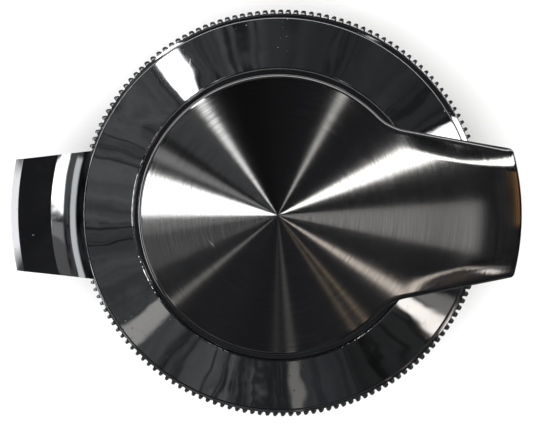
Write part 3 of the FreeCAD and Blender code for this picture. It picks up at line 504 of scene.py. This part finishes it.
STRIKE_TOP, STRIKE_SCREW_CIRCLE = 8.0, 32.73
STRIKE_HEAD, STRIKE_SHANK, STRIKE_LENGTH = 1.9, 1.25, 7.2
SCREW_STEPS, SOCKET_POINTS = 24, 3
STAINLESS, DULL_STAINLESS = (0.60, 0.59, 0.57), (0.44, 0.43, 0.41)
PLATE, DULL_PLATE = (0.58, 0.57, 0.55), (0.40, 0.39, 0.37)


def screw_master(name, circle, level, head, shank, length, sign):
    """A countersunk screw at +X, with a hexagon socket in its head. The sign is the head's outward side."""
    socket_depth = 0.55 * (head - shank) + 0.35
    across = 0.52 * head
    profile = [(0.001, -length), (shank * 0.7, -length), (shank, -length + 0.3), (shank, shank - head)]
    profile += [(head - 0.06, -0.06), (head - 0.1, 0.0), (across * 1.12, 0.0), (across, -0.06)]
    profile += [(across * 0.98, -socket_depth), (0.001, -socket_depth - 0.12)]
    points, faces = [], []
    for step in range(SCREW_STEPS):
        turn = 2 * math.pi * step / SCREW_STEPS
        sixth = (turn + math.pi / 6) % (math.pi / 3) - math.pi / 6
        for index, (r, z) in enumerate(profile):
            in_socket = index >= len(profile) - SOCKET_POINTS
            reach = r * 0.9 / math.cos(sixth) if in_socket else r
            points.append((circle + reach * math.cos(turn), reach * math.sin(turn), level + sign * z))
    count = len(profile)
    for step in range(SCREW_STEPS):
        here, there = step * count, (step + 1) % SCREW_STEPS * count
        faces += [(here + i, there + i, there + i + 1, here + i + 1) for i in range(count - 1)]
    faces.append(tuple(step * count for step in range(SCREW_STEPS)))
    faces.append(tuple(step * count + count - 1 for step in reversed(range(SCREW_STEPS))))
    return piece_from(name, points, faces, None, stainless, None)


def screw_set(name, node, body, count, *sizes):
    """All screws of one sort as one piece, in place of their CAD node."""
    mesh = round_the_axis(name, screw_master(name + "_master", *sizes), stainless, count)
    screws = finished_piece(name, mesh, body, stainless)
    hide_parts(node)


stainless = turned_metal("bright_stainless", STAINLESS, DULL_STAINLESS, 0.16, 3600.0, 0.000008)
turned_plate = turned_metal("turned_stainless_plate", PLATE, DULL_PLATE, 0.2, 2600.0, 0.00001)
finish_node("strike_ring", turned_plate)
screw_set(
    "strike_fixings", "strike_screws", "base", 4,
    STRIKE_SCREW_CIRCLE, STRIKE_TOP, STRIKE_HEAD, STRIKE_SHANK, STRIKE_LENGTH, 1,
)

# ---- Hinge pin and clips -------------------------------------------------------------------------
# A ground stainless pin pressed through both ears. A spring clip snapped over each end keeps it in.

finish_node("hinge_pin", stainless)


def drawn_steel(name):
    """Blued spring steel with the fine lines of the drawing die."""
    finish = Finish(name)
    drawn = finish.joined(finish.across * 3000.0, finish.along * 500.0, finish.up * 3000.0)
    lines = finish.noise(drawn, 1.0, 3.0)
    finish.raised(lines, 0.00001)
    blued = finish.between(finish.noise(finish.place, 300.0, 3.0), 0.4, 0.65)
    colour = finish.blended(blued, (0.42, 0.41, 0.40), (0.22, 0.23, 0.27))
    return finish.surface(colour, lines * 0.12 + 0.2)


spring_steel = drawn_steel("drawn_spring_steel")
finish_node("hinge_clips", spring_steel)

# ---- Hinge spring --------------------------------------------------------------------------------
# A torsion spring coiled from hard steel wire round the pin, between the ears. One leg bears on the ring and
# the other lifts the tab's underside, so that it winds up as the lid opens.

COIL_HALF, COIL_RADIUS, WIRE_RADIUS, COIL_TURNS, LEG = 4.6, 3.0, 0.48, 8.25, 3.8

spring_path = Pattern(
    "spring", finish=spring_steel, turns=COIL_TURNS, coil_radius=COIL_RADIUS * MM,
    wire_radius=WIRE_RADIUS * MM, length=2 * COIL_HALF * MM, leg=LEG * MM,
)
reach, length, leg = (spring_path.asked(label) for label in ("coil_radius", "length", "leg"))
spiral = spring_path.add(
    "GeometryNodeCurveSpiral", {},
    {
        "Resolution": 40, "Rotations": spring_path.asked("turns"),
        "Start Radius": reach, "End Radius": reach, "Height": length, "Reverse": True,
    },
)
leg_in = spring_path.add(
    "GeometryNodeCurvePrimitiveLine", {"mode": "POINTS"},
    {
        "Start": spring_path.joined(reach, 0.0, 0.0),
        "End": spring_path.joined(reach, leg, 0.0),
    },
)
leg_out = spring_path.add(
    "GeometryNodeCurvePrimitiveLine", {"mode": "POINTS"},
    {
        "Start": spring_path.joined(0.0, reach * -1.0, length),
        "End": spring_path.joined(leg * -1.0, reach * -1.0, length),
    },
)
wire = spring_path.add("GeometryNodeJoinGeometry", {}, {0: spiral})
for line in (leg_in, leg_out):
    spring_path.tree.links.new(line.socket, wire.socket.node.inputs[0])
round_wire = spring_path.add(
    "GeometryNodeCurvePrimitiveCircle", {}, {"Resolution": 14, "Radius": spring_path.asked("wire_radius")}
)
values = {"Curve": wire, "Profile Curve": round_wire, "Fill Caps": True}
swept = spring_path.add("GeometryNodeCurveToMesh", {}, values)
spring_mesh = spring_path.mesh(swept, "spring")
for vertex in spring_mesh.vertices:
    x, y, z = vertex.co
    vertex.co = (HINGE_X * MM - y, COIL_HALF * MM - z, HINGE_Z * MM + x)
spring = finished_piece("torsion_spring", spring_mesh, None, spring_steel)
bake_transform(spring)
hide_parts("hinge_spring")

# ---- Lid shell and hinge bushes ------------------------------------------------------------------
# The lid is one brass casting, polished all over and chrome plated: a conical bezel round the brushed disc,
# a thumb tab on its back edge that hides the hinge, and two knuckles bored for pressed-in bronze bushes.

chrome = mirror_chrome("polished_chrome_plate")
finish_node("lid_shell", chrome)


def sintered_bronze(name):
    """Oil-filled bearing bronze, with its open pores."""
    finish = Finish(name)
    pores = finish.add("ShaderNodeTexVoronoi", {}, {"Vector": finish.place, "Scale": 3200.0})
    open_pores = finish.between(pores, 0.25, 0.12)
    finish.raised(1.0 - open_pores, 0.00002)
    oil = finish.between(finish.noise(finish.place, 200.0, 3.0), 0.4, 0.7)
    colour = finish.blended(oil, (0.62, 0.38, 0.20), (0.40, 0.24, 0.12))
    # The open pores are painted dark: painted shade in the pits, together with the oil that fills them.
    colour = finish.blended(open_pores, colour, (0.10, 0.06, 0.03))
    return finish.surface(colour, 0.42 - oil * 0.2)


bronze = sintered_bronze("oiled_bearing_bronze")
finish_node("hinge_bushes", bronze)

# ---- Lid gasket, its retainer and screws ---------------------------------------------------------
# A moulded rubber gasket sits in the lid's channel and closes on the ring's top face. A stainless ring with
# six countersunk screws holds its thin inner flange.

RETAINER_BOTTOM, RETAINER_SCREW_CIRCLE = 9.47, 32.15
RETAINER_HEAD, RETAINER_SHANK, RETAINER_LENGTH = 1.6, 1.0, 4.4

finish_node("lid_gasket", rubber)
finish_node("gasket_retainer", stainless)
screw_set(
    "retainer_fixings", "retainer_screws", "lid", 6,
    RETAINER_SCREW_CIRCLE, RETAINER_BOTTOM, RETAINER_HEAD, RETAINER_SHANK, RETAINER_LENGTH, -1,
)

# ---- Spindle bush, O-ring and wear ring ----------------------------------------------------------
# A flanged bronze bush pressed into the lid's boss carries the spindle. An O-ring above it keeps rain out,
# and a white nylon ring let into the lid's face keeps the disc off the plating as it turns.


def turned_nylon(name):
    """White nylon with tool rings and a faint waxy mottle."""
    finish = Finish(name)
    lines = finish.turned_lines(2600.0)
    finish.raised(lines, 0.00001)
    mottle = finish.between(finish.noise(finish.place, 120.0, 3.0), 0.35, 0.7)
    colour = finish.blended(mottle, (0.80, 0.79, 0.75), (0.70, 0.69, 0.64))
    return finish.surface(colour, lines * 0.1 + 0.38, 0.0, Subsurface_Weight=0.15, Subsurface_Scale=0.001)


finish_node("spindle_bush", bronze)
finish_node("spindle_o_ring", rubber)
finish_node("wear_ring", turned_nylon("white_nylon"))

# ---- Handle --------------------------------------------------------------------------------------
# One brass casting, a slightly conical disc with a lever whose end bends down over the lid's edge. Its top is
# brushed with a belt while the disc turns, its edges are polished, and the whole is chrome plated.

DISC_RADIUS, DISC_RIM, DISC_BOTTOM = 31.0, 21.85, 18.2
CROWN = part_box("handle")[1].z / MM - DISC_RIM
LEAN = CROWN / DISC_RADIUS
LEVER_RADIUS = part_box("handle")[1].x / MM
LEVER_HALF, LEVER_TAPER, HOLLOW_RADIUS = 14.1, 0.188, 11.0
BEND_START, BEND_RADIUS, LEVER_THICKNESS = 42.1, 34.0, 3.4
LEVER_BOTTOM, LEVER_BOTTOM_START = 19.2, 32.4
STEP_WIDTH = 0.9
FLANGE_RADIUS, FLANGE_TOP = 12.1, 20.2
EDGE_ROUND, CORNER_ROUND = 0.9, 1.3
EDGE_STEPS, RINGS, THICK_WALL = 7, 84, 3.0
TIP_LIP, LOWER_INSET, KEPT_IN = 0.6, 0.25, 0.995
SHOULDER_DROP, SHOULDER_WIDTH = 0.55, 5.0
EASE_START, EASE_END, EASE_DROP = 29.0, 56.0, 0.3
GROOVE_TILT, STROKE_TILT = 0.22, 0.05
BRUSHED_DARK, BRUSHED_LIGHT, SCUFF = (0.44, 0.436, 0.43), (0.56, 0.555, 0.55), (0.78, 0.78, 0.78)

steep = math.sqrt(1 + LEAN * LEAN)
bend_x = BEND_START - BEND_RADIUS * LEAN / steep
bend_z = DISC_RIM - (BEND_START - DISC_RADIUS) * LEAN - BEND_RADIUS / steep
inner_bend = BEND_RADIUS - LEVER_THICKNESS
flank = Vector((LEVER_TAPER, 1)).normalized()
tip_corner = Vector((math.sqrt(LEVER_RADIUS**2 - LEVER_HALF**2), LEVER_HALF))
flank_offset = flank.dot(tip_corner)
flank_run = Vector((flank.y, -flank.x))
round_out = flank_offset - CORNER_ROUND
round_centre = flank * round_out + flank_run * math.sqrt((LEVER_RADIUS - CORNER_ROUND)**2 - round_out**2)
hollow_out = flank_offset + HOLLOW_RADIUS
hollow_centre = flank * hollow_out + flank_run * math.sqrt((DISC_RADIUS + HOLLOW_RADIUS)**2 - hollow_out**2)


def smooth_share(value, low, high):
    share = min(max((value - low) / (high - low), 0), 1)
    return share * share * (3 - 2 * share)


def top_height(x, y):
    """The brushed face: a cone, then the lever's bend, with the lever's sides rolled off a little."""
    r = math.hypot(x, y)
    if r < BEND_START:
        level = DISC_RIM + (DISC_RADIUS - math.sqrt(r * r + 0.25)) * LEAN
    else:
        level = bend_z + math.sqrt(max(BEND_RADIUS**2 - (r - bend_x)**2, 0))
    inside = flank_offset - flank.dot(Vector((x, abs(y))))
    rolled = max(1 - inside / SHOULDER_WIDTH, 0)**2 * smooth_share(x, 26, 40)
    eased = smooth_share(r, EASE_START, BEND_START) * (1 - smooth_share(r, BEND_START, EASE_END))
    return level - SHOULDER_DROP * rolled - EASE_DROP * eased


def bottom_height(r):
    """The underside: flat under the disc, then rising over the bezel and following the bend to the tip."""
    tip_r = bend_x + inner_bend * (LEVER_RADIUS - bend_x) / BEND_RADIUS
    if r < LEVER_BOTTOM_START - STEP_WIDTH:
        return DISC_BOTTOM
    if r < LEVER_BOTTOM_START:
        return LEVER_BOTTOM
    if r < BEND_START:
        share = (r - LEVER_BOTTOM_START) / (BEND_START - LEVER_BOTTOM_START)
        return LEVER_BOTTOM + share * (bend_z + inner_bend - LEVER_BOTTOM)
    if r < tip_r:
        return bend_z + math.sqrt(inner_bend**2 - (r - bend_x)**2)
    end = bend_z + math.sqrt(inner_bend**2 - (tip_r - bend_x)**2)
    edge = bend_z + math.sqrt(BEND_RADIUS**2 - (LEVER_RADIUS - bend_x)**2) - TIP_LIP
    return end + (edge - end) * (r - tip_r) / (LEVER_RADIUS - tip_r)


def sweep_about(centre, radius, start, end, steps, side):
    """Outline points with their outward directions, along an arc from one direction to another."""
    begin = math.atan2(start.y, start.x)
    turn = (math.atan2(end.y, end.x) - begin + math.pi) % (2 * math.pi) - math.pi
    found = []
    for step in range(steps):
        angle = begin + turn * step / steps
        out = Vector((math.cos(angle), math.sin(angle)))
        found.append((centre + out * radius, out * side))
    return found


straight_on = Vector((1, 0))
origin = Vector((0, 0))
flank_end = round_centre + flank * CORNER_ROUND
flank_start = hollow_centre - flank * HOLLOW_RADIUS
half = sweep_about(origin, LEVER_RADIUS, straight_on, round_centre, 44, 1)
half += sweep_about(round_centre, CORNER_ROUND, round_centre, flank, 8, 1)
half += [(flank_end.lerp(flank_start, step / 34), flank) for step in range(34)]
half += sweep_about(hollow_centre, HOLLOW_RADIUS, -flank, -hollow_centre, 30, -1)
half += sweep_about(origin, DISC_RADIUS, hollow_centre, Vector((-1, 1e-9)), 120, 1)
back = (Vector((-DISC_RADIUS, 0)), Vector((-1, 0)))
mirrored = [(Vector((p.x, -p.y)), Vector((n.x, -n.y))) for p, n in reversed(half[1:])]
outline = half + [back] + mirrored
around = len(outline)

levels = []
for step in range(EDGE_STEPS + 1):
    turn = math.pi / 2 * step / EDGE_STEPS
    inset, drop = EDGE_ROUND * (1 - math.sin(turn)), EDGE_ROUND * (1 - math.cos(turn))
    row = []
    for point, out in outline:
        here = point - out * inset
        wall = top_height(*point) - bottom_height(point.length)
        row.append((here.x, here.y, top_height(*here) - drop * min(1, wall / THICK_WALL)))
    levels.append(row)
inner = [point - out * EDGE_ROUND for point, out in outline]
upper = []
for ring in range(RINGS, 0, -1):
    share = ring / (RINGS + 1)
    upper.append([(p.x * share, p.y * share, top_height(*(p * share))) for p in inner])
under = []
for lift, inset in ((LOWER_INSET, 0.0), (0.08, 0.08), (0.0, LOWER_INSET)):
    row = []
    for point, out in outline:
        here = point - out * inset
        row.append((here.x, here.y, bottom_height(point.length) + lift))
    under.append(row)
lip_radii = [point.length - LOWER_INSET for point, out in outline]
under_radii = []
for share in (0.2, 0.4, 0.6, 0.8, 0.9, 1.0):
    under_radii.append([r + (min(r * KEPT_IN, LEVER_BOTTOM_START) - r) * share for r in lip_radii])
for step_edge in (STEP_WIDTH - 0.02, STEP_WIDTH + 0.02):
    under_radii.append([min(r * KEPT_IN, LEVER_BOTTOM_START - step_edge) for r in under_radii[-1]])
face_radii = under_radii[-1]
for share in (0.3, 0.6, 0.9, 1.0):
    under_radii.append([r + (FLANGE_RADIUS - r) * share for r in face_radii])
for radii in under_radii:
    row = [(*(point.normalized() * r), bottom_height(r)) for (point, out), r in zip(outline, radii)]
    under.append(row)
under.append([(*(point.normalized() * FLANGE_RADIUS), FLANGE_TOP) for point, out in outline])

rows = upper[::-1] + levels + under
handle_points = [point for row in rows for point in row]
handle_faces = []
for row in range(len(rows) - 1):
    for index in range(around):
        here, following = row * around + index, row * around + (index + 1) % around
        handle_faces.append((here, following, following + around, here + around))
centre = len(handle_points)
handle_points.append((0, 0, top_height(0, 0)))
handle_faces += [(centre, (index + 1) % around, index) for index in range(around)]
last = (len(rows) - 1) * around
handle_points.append((0, 0, FLANGE_TOP))
handle_faces += [(centre + 1, last + index, last + (index + 1) % around) for index in range(around)]


def brushed_chrome(name):
    """Chrome plate over belt-brushed metal: grooves that run round the spindle, with polished edges."""
    finish = Finish(name)
    radius, angle = finish.polar()
    polish = finish.add("ShaderNodeAttribute", {"attribute_name": "polish"}).of("Fac")
    wander = finish.noise(finish.place, 30.0, 2.0) * 0.0002
    grooves = finish.noise(finish.joined((radius + wander) * 19000.0, angle * 1.2, 0.0), 1.0, 2.0, 0.6)
    strokes = finish.noise(finish.joined((radius + wander) * 4200.0, angle * 2.6, 3.0), 1.0, 2.0, 0.6)
    tilt = ((grooves - 0.5) * GROOVE_TILT + (strokes - 0.5) * STROKE_TILT) * (1.0 - polish * 0.9)
    from_spindle = finish.joined(finish.across, finish.along, 0.0)
    outward = finish.add("ShaderNodeVectorMath", {"operation": "NORMALIZE"}, {0: from_spindle})
    leaning = finish.add("ShaderNodeVectorMath", {"operation": "SCALE"}, {0: outward, "Scale": tilt})
    spaces = {"vector_type": "VECTOR", "convert_from": "OBJECT", "convert_to": "WORLD"}
    turned = finish.add("ShaderNodeVectorTransform", spaces, {0: leaning})
    flat = finish.add("ShaderNodeNewGeometry").of("Normal")
    tipped = finish.add("ShaderNodeVectorMath", {}, {0: flat, 1: turned})
    finish.relief = finish.add("ShaderNodeVectorMath", {"operation": "NORMALIZE"}, {0: tipped})
    slanted = finish.joined(finish.across * 900.0 + finish.along * 700.0, finish.along * 90.0, 0.0)
    scuffs, rubbed = finish.noise(slanted, 1.0, 2.0), finish.noise(finish.place, 55.0, 1.0)
    scuffed = finish.between(scuffs, 0.68, 0.74) * finish.between(rubbed, 0.55, 0.65)
    shade = finish.between(strokes, 0.3, 0.7)
    colour = finish.blended(shade, BRUSHED_DARK, BRUSHED_LIGHT)
    colour = finish.blended(scuffed * 0.6, colour, SCUFF)
    roughness = finish.between(strokes, 0.3, 0.7, 0.085, 0.105) + scuffed * 0.1
    roughness = roughness * (1.0 - polish) + polish * 0.05
    return finish.surface(colour, roughness, 1.0, Anisotropic=1.0, Anisotropic_Rotation=0.25)


brushed = brushed_chrome("brushed_chrome_plate")
handle = piece_from("lever_handle", handle_points, handle_faces, "handle", brushed, "brushed_chrome")
polish = handle.data.attributes.new("polish", "FLOAT", "POINT")
for vertex in handle.data.vertices:
    x, y, z = (value / MM for value in vertex.co)
    polish.data[vertex.index].value = smooth_share(top_height(x, y) - z, 0.004, 0.05)
handle.data.use_auto_texspace = False
handle.data.texspace_location = (0, 0, DISC_RIM * MM)
handle.data.texspace_size = (0.1, 0.1, 0.1)
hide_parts("handle")

# ---- Spindle, its screws and the stop pin --------------------------------------------------------
# A turned stainless spindle with a flange, let into the disc and held by three countersunk screws. A ground
# pin beside it runs in a slot in the lid's face and stops the handle at a quarter turn.

SPINDLE_SCREW_CIRCLE = 8.5
SPINDLE_HEAD, SPINDLE_SHANK, SPINDLE_LENGTH = 2.3, 1.25, 3.8

finish_node("spindle", stainless)
finish_node("stop_pin", stainless)
screw_set(
    "spindle_fixings", "spindle_screws", "handle", 3,
    SPINDLE_SCREW_CIRCLE, DISC_BOTTOM, SPINDLE_HEAD, SPINDLE_SHANK, SPINDLE_LENGTH, -1,
)

# ---- Wave washer, latch bar, washer and nut ------------------------------------------------------
# A waved spring washer takes up play over the bar. The bar is cut from stainless flat, broached to fit the
# spindle's square, and held by a washer and a thin nut.

finish_node("wave_washer", spring_steel)


def rolled_stainless(name):
    """Cold rolled stainless flat, with its rolling lines along the bar."""
    finish = Finish(name)
    rolled = finish.joined(finish.across * 3400.0, finish.along * 120.0, finish.up * 3400.0)
    lines = finish.noise(rolled, 1.0, 3.0)
    finish.raised(lines, 0.00001)
    marks = finish.between(finish.noise(finish.place, 90.0, 4.0, 0.6), 0.45, 0.7)
    colour = finish.blended(marks, (0.58, 0.57, 0.56), (0.46, 0.455, 0.45))
    return finish.surface(colour, lines * 0.14 + marks * 0.1 + 0.18)


finish_node("latch_bar", rolled_stainless("rolled_stainless"))
finish_node("latch_washer", stainless)
finish_node("latch_nut", stainless)

# ---- Floor, light and camera ---------------------------------------------------------------------
# A plain pale table, an even soft light from above, and a dim room round it whose few bright panels the
# chrome picks up. The camera looks almost straight down from far away.

FLOOR_REACH, FLOOR_LEVEL = 3.0, cad_low.z - 0.0002
# The table's own colour, then its colour in the chrome's reflections (painted dark as shade), then a painted
# reflection of a pale sheet.
PALE, REFLECTED_TABLE_SHADE, PAINTED_SHEET_REFLECTION = (0.86, 0.86, 0.86), (0.022, 0.022, 0.022), (0.8, 0.8, 0.82)
floor_mesh = bpy.data.meshes.new("floor")
sides = ((-1, -1), (1, -1), (1, 1), (-1, 1))
floor_corners = [(x * FLOOR_REACH, y * FLOOR_REACH, FLOOR_LEVEL) for x, y in sides]
floor_mesh.from_pydata(floor_corners, [], [(0, 1, 2, 3)])
floor = bpy.data.objects.new("floor", floor_mesh)
bpy.context.scene.collection.objects.link(floor)
pale = Finish("pale_table")
# Only reflections see these painted colours: the table is painted dark as shade, with a painted pale sheet
# behind the tab.
mirrored_in = pale.add("ShaderNodeLightPath").of("Is Glossy Ray")
off_middle = pale.maths("ABSOLUTE", pale.along)
painted_sheet_place = pale.between(pale.across, -0.10, -0.12) * pale.between(off_middle, 0.10, 0.06)
mirrored = pale.blended(painted_sheet_place, REFLECTED_TABLE_SHADE, PAINTED_SHEET_REFLECTION)
table = pale.blended(mirrored_in, PALE, mirrored)
floor_mesh.materials.append(pale.surface(table, pale.noise(pale.place, 8.0) * 0.1 + 0.6, 0.0))
floor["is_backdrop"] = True


def sunlight(name, strength, spread, lean_x, lean_y):
    """Even light from a wide patch of ceiling; it is too broad to show as a shape in the chrome."""
    lamp = bpy.data.lights.new(name, "SUN")
    lamp.energy, lamp.angle = strength, math.radians(spread)
    holder = bpy.data.objects.new(name, lamp)
    holder.rotation_euler = (math.radians(lean_x), math.radians(lean_y), 0)
    holder.visible_glossy = False
    bpy.context.scene.collection.objects.link(holder)


sunlight("ceiling", 4.6, 70, 0, 0)
sunlight("side_fill", 1.0, 60, 35, -20)

# azimuth, half its width, lowest and highest angle from the view, brightness, colour
PANELS = (
    (170.8, 9.3, 6, 26, 3.2, (1.0, 1.0, 1.0)),
    (185.5, 3.2, 6, 26, 0.26, (1.0, 1.0, 1.0)),
    (196.0, 8.0, 6, 26, 0.12, (1.0, 1.0, 1.0)),
    (124.0, 2.2, 6, 26, 1.8, (1.0, 1.0, 1.0)),
    (137.0, 7.0, 6, 26, 0.09, (0.9, 0.95, 1.0)),
    (152.6, 2.8, 6, 26, 0.40, (0.97, 0.97, 1.0)),
    (60.9, 1.8, 6, 26, 0.95, (1.0, 0.98, 0.94)),
    (23.4, 4.6, 6, 60, 3.2, (1.0, 0.98, 0.95)),
    (356.0, 7.5, 5, 17, 0.36, (1.0, 0.97, 0.95)),
    (327.6, 2.2, 6, 26, 1.15, (1.0, 0.90, 0.80)),
    (309.5, 0.9, 6, 26, 0.34, (1.0, 0.80, 0.58)),
    (303.5, 0.8, 6, 26, 0.26, (1.0, 0.80, 0.58)),
    (275.5, 1.6, 6, 26, 0.14, (1.0, 0.97, 0.92)),
    (269.0, 1.0, 6, 26, 0.08, (1.0, 0.97, 0.92)),
    (219.5, 1.2, 6, 26, 0.42, (1.0, 0.98, 0.94)),
    (125.4, 3.2, 29, 50, 5.0, (1.0, 1.0, 1.0)),
    (218.0, 3.2, 29, 44, 0.42, (1.0, 0.98, 0.94)),
    (275.0, 1.8, 29, 44, 0.22, (1.0, 0.97, 0.92)),
    (325.4, 2.4, 29, 44, 1.7, (1.0, 0.94, 0.88)),
    (331.0, 2.2, 29, 44, 0.25, (1.0, 0.97, 0.92)),
    (186.0, 22.0, 42, 54, 0.8, (0.96, 0.98, 1.0)),
    (4.0, 7.0, 44, 58, 0.25, (1.0, 0.55, 0.22)),
)

VIEW_EAST, VIEW_NORTH, SOFT_EDGE = 0.048, 0.0274, 0.8
TO_DEGREES = 180 / math.pi
world = bpy.data.worlds.new("room")
bpy.context.scene.world = world
world.use_nodes = True
room = Tree(world.node_tree)
towards = room.add("ShaderNodeTexCoord").of("Generated")
east = room.add("ShaderNodeSeparateXYZ", {}, {0: towards})
north, over = east.of("Y"), east.of("Z")
from_zenith = room.maths("ARCCOSINE", over) * TO_DEGREES
flow = room.noise(towards, 2.2, 3.0, 0.5, 1.2)
walls = room.blended(room.between(flow, 0.4, 0.66), (0.004, 0.004, 0.004), (0.030, 0.031, 0.035))
far_side = room.between(north, 0.15, 0.75) * room.between(from_zenith, 62.0, 82.0)
walls = room.blended(far_side, walls, (1.3, 1.3, 1.3))
level_reach = room.maths("SQRT", east * east + north * north + 0.0001)
drapes = room.noise(
    room.joined(east / level_reach * 3.2, north / level_reach * 3.2, from_zenith * 0.05), 1.0, 4.0, 0.6, 0.8
)
folds = room.between(room.maths("ABSOLUTE", drapes - 0.5), 0.0, 0.045)
patches = room.between(room.noise(towards, 6.0, 4.0, 0.6, 0.6), 0.35, 0.65)
draped = room.between(from_zenith, 24.0, 29.0) * room.between(from_zenith, 60.0, 50.0)
draped = draped * (folds * 0.9 + 0.1) * (patches * 0.65 + 0.35)
draped = draped * (room.between(east, 0.15, -0.3) * 0.75 + 0.25)
walls = room.blended(draped, walls, (0.115, 0.12, 0.122))
horizon = room.between(from_zenith, 70.0, 95.0) * 0.5
glow = room.blended(horizon, walls, (0.05, 0.05, 0.052))
shifted_east, shifted_north = east + VIEW_EAST, north + VIEW_NORTH
sideways = room.maths("SQRT", shifted_east * shifted_east + shifted_north * shifted_north)
from_view = room.maths("ARCTAN2", sideways, over) * TO_DEGREES
for azimuth, half_width, low, high, brightness, tint in PANELS:
    turn = math.radians(azimuth)
    ahead = shifted_east * math.cos(turn) + shifted_north * math.sin(turn)
    aside = shifted_north * math.cos(turn) - shifted_east * math.sin(turn)
    off = room.maths("ABSOLUTE", room.maths("ARCTAN2", aside, ahead)) * TO_DEGREES
    inside = room.between(off, half_width + SOFT_EDGE, half_width - SOFT_EDGE)
    inside = inside * room.between(from_view, low - 2, low + 1) * room.between(from_view, high + 3, high - 3)
    glow = room.blended(inside, glow, tuple(brightness * part for part in tint))
lit = room.add("ShaderNodeBackground", {}, {"Color": glow, "Strength": 1.0})
backdrop = room.add("ShaderNodeBackground", {}, {"Color": (0.9, 0.9, 0.9, 1), "Strength": 1.0})
seen_directly = room.add("ShaderNodeLightPath").of("Is Camera Ray")
whole_room = room.add("ShaderNodeMixShader", {}, {0: seen_directly, 1: lit, 2: backdrop})
room.add("ShaderNodeOutputWorld", {}, {0: whole_room})

bpy.context.scene.view_settings.view_transform = "Standard"

camera_data = bpy.data.cameras.new("camera")
camera_data.lens, camera_data.sensor_width = 600, 36
camera_data.clip_start, camera_data.clip_end = 0.05, 20
camera = bpy.data.objects.new("camera", camera_data)
bpy.context.scene.collection.objects.link(camera)
TILT_X, TILT_Y, ROLL = math.radians(2.754), math.radians(1.571), math.radians(0.394)
DISTANCE, ASIDE, BELOW = 1.977, 0.00365, 0.00017
back_off = Vector((math.tan(TILT_X), math.sin(TILT_Y), math.cos(TILT_Y))).normalized()
rightward = Vector((math.sin(ROLL), math.cos(ROLL), 0)).cross(back_off).normalized()
upward = back_off.cross(rightward)
camera.location = back_off * DISTANCE - rightward * ASIDE - upward * BELOW
camera.rotation_mode = "QUATERNION"
camera.rotation_quaternion = Matrix((rightward, upward, back_off)).transposed().to_quaternion()
bpy.context.scene.camera = camera

low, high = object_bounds()
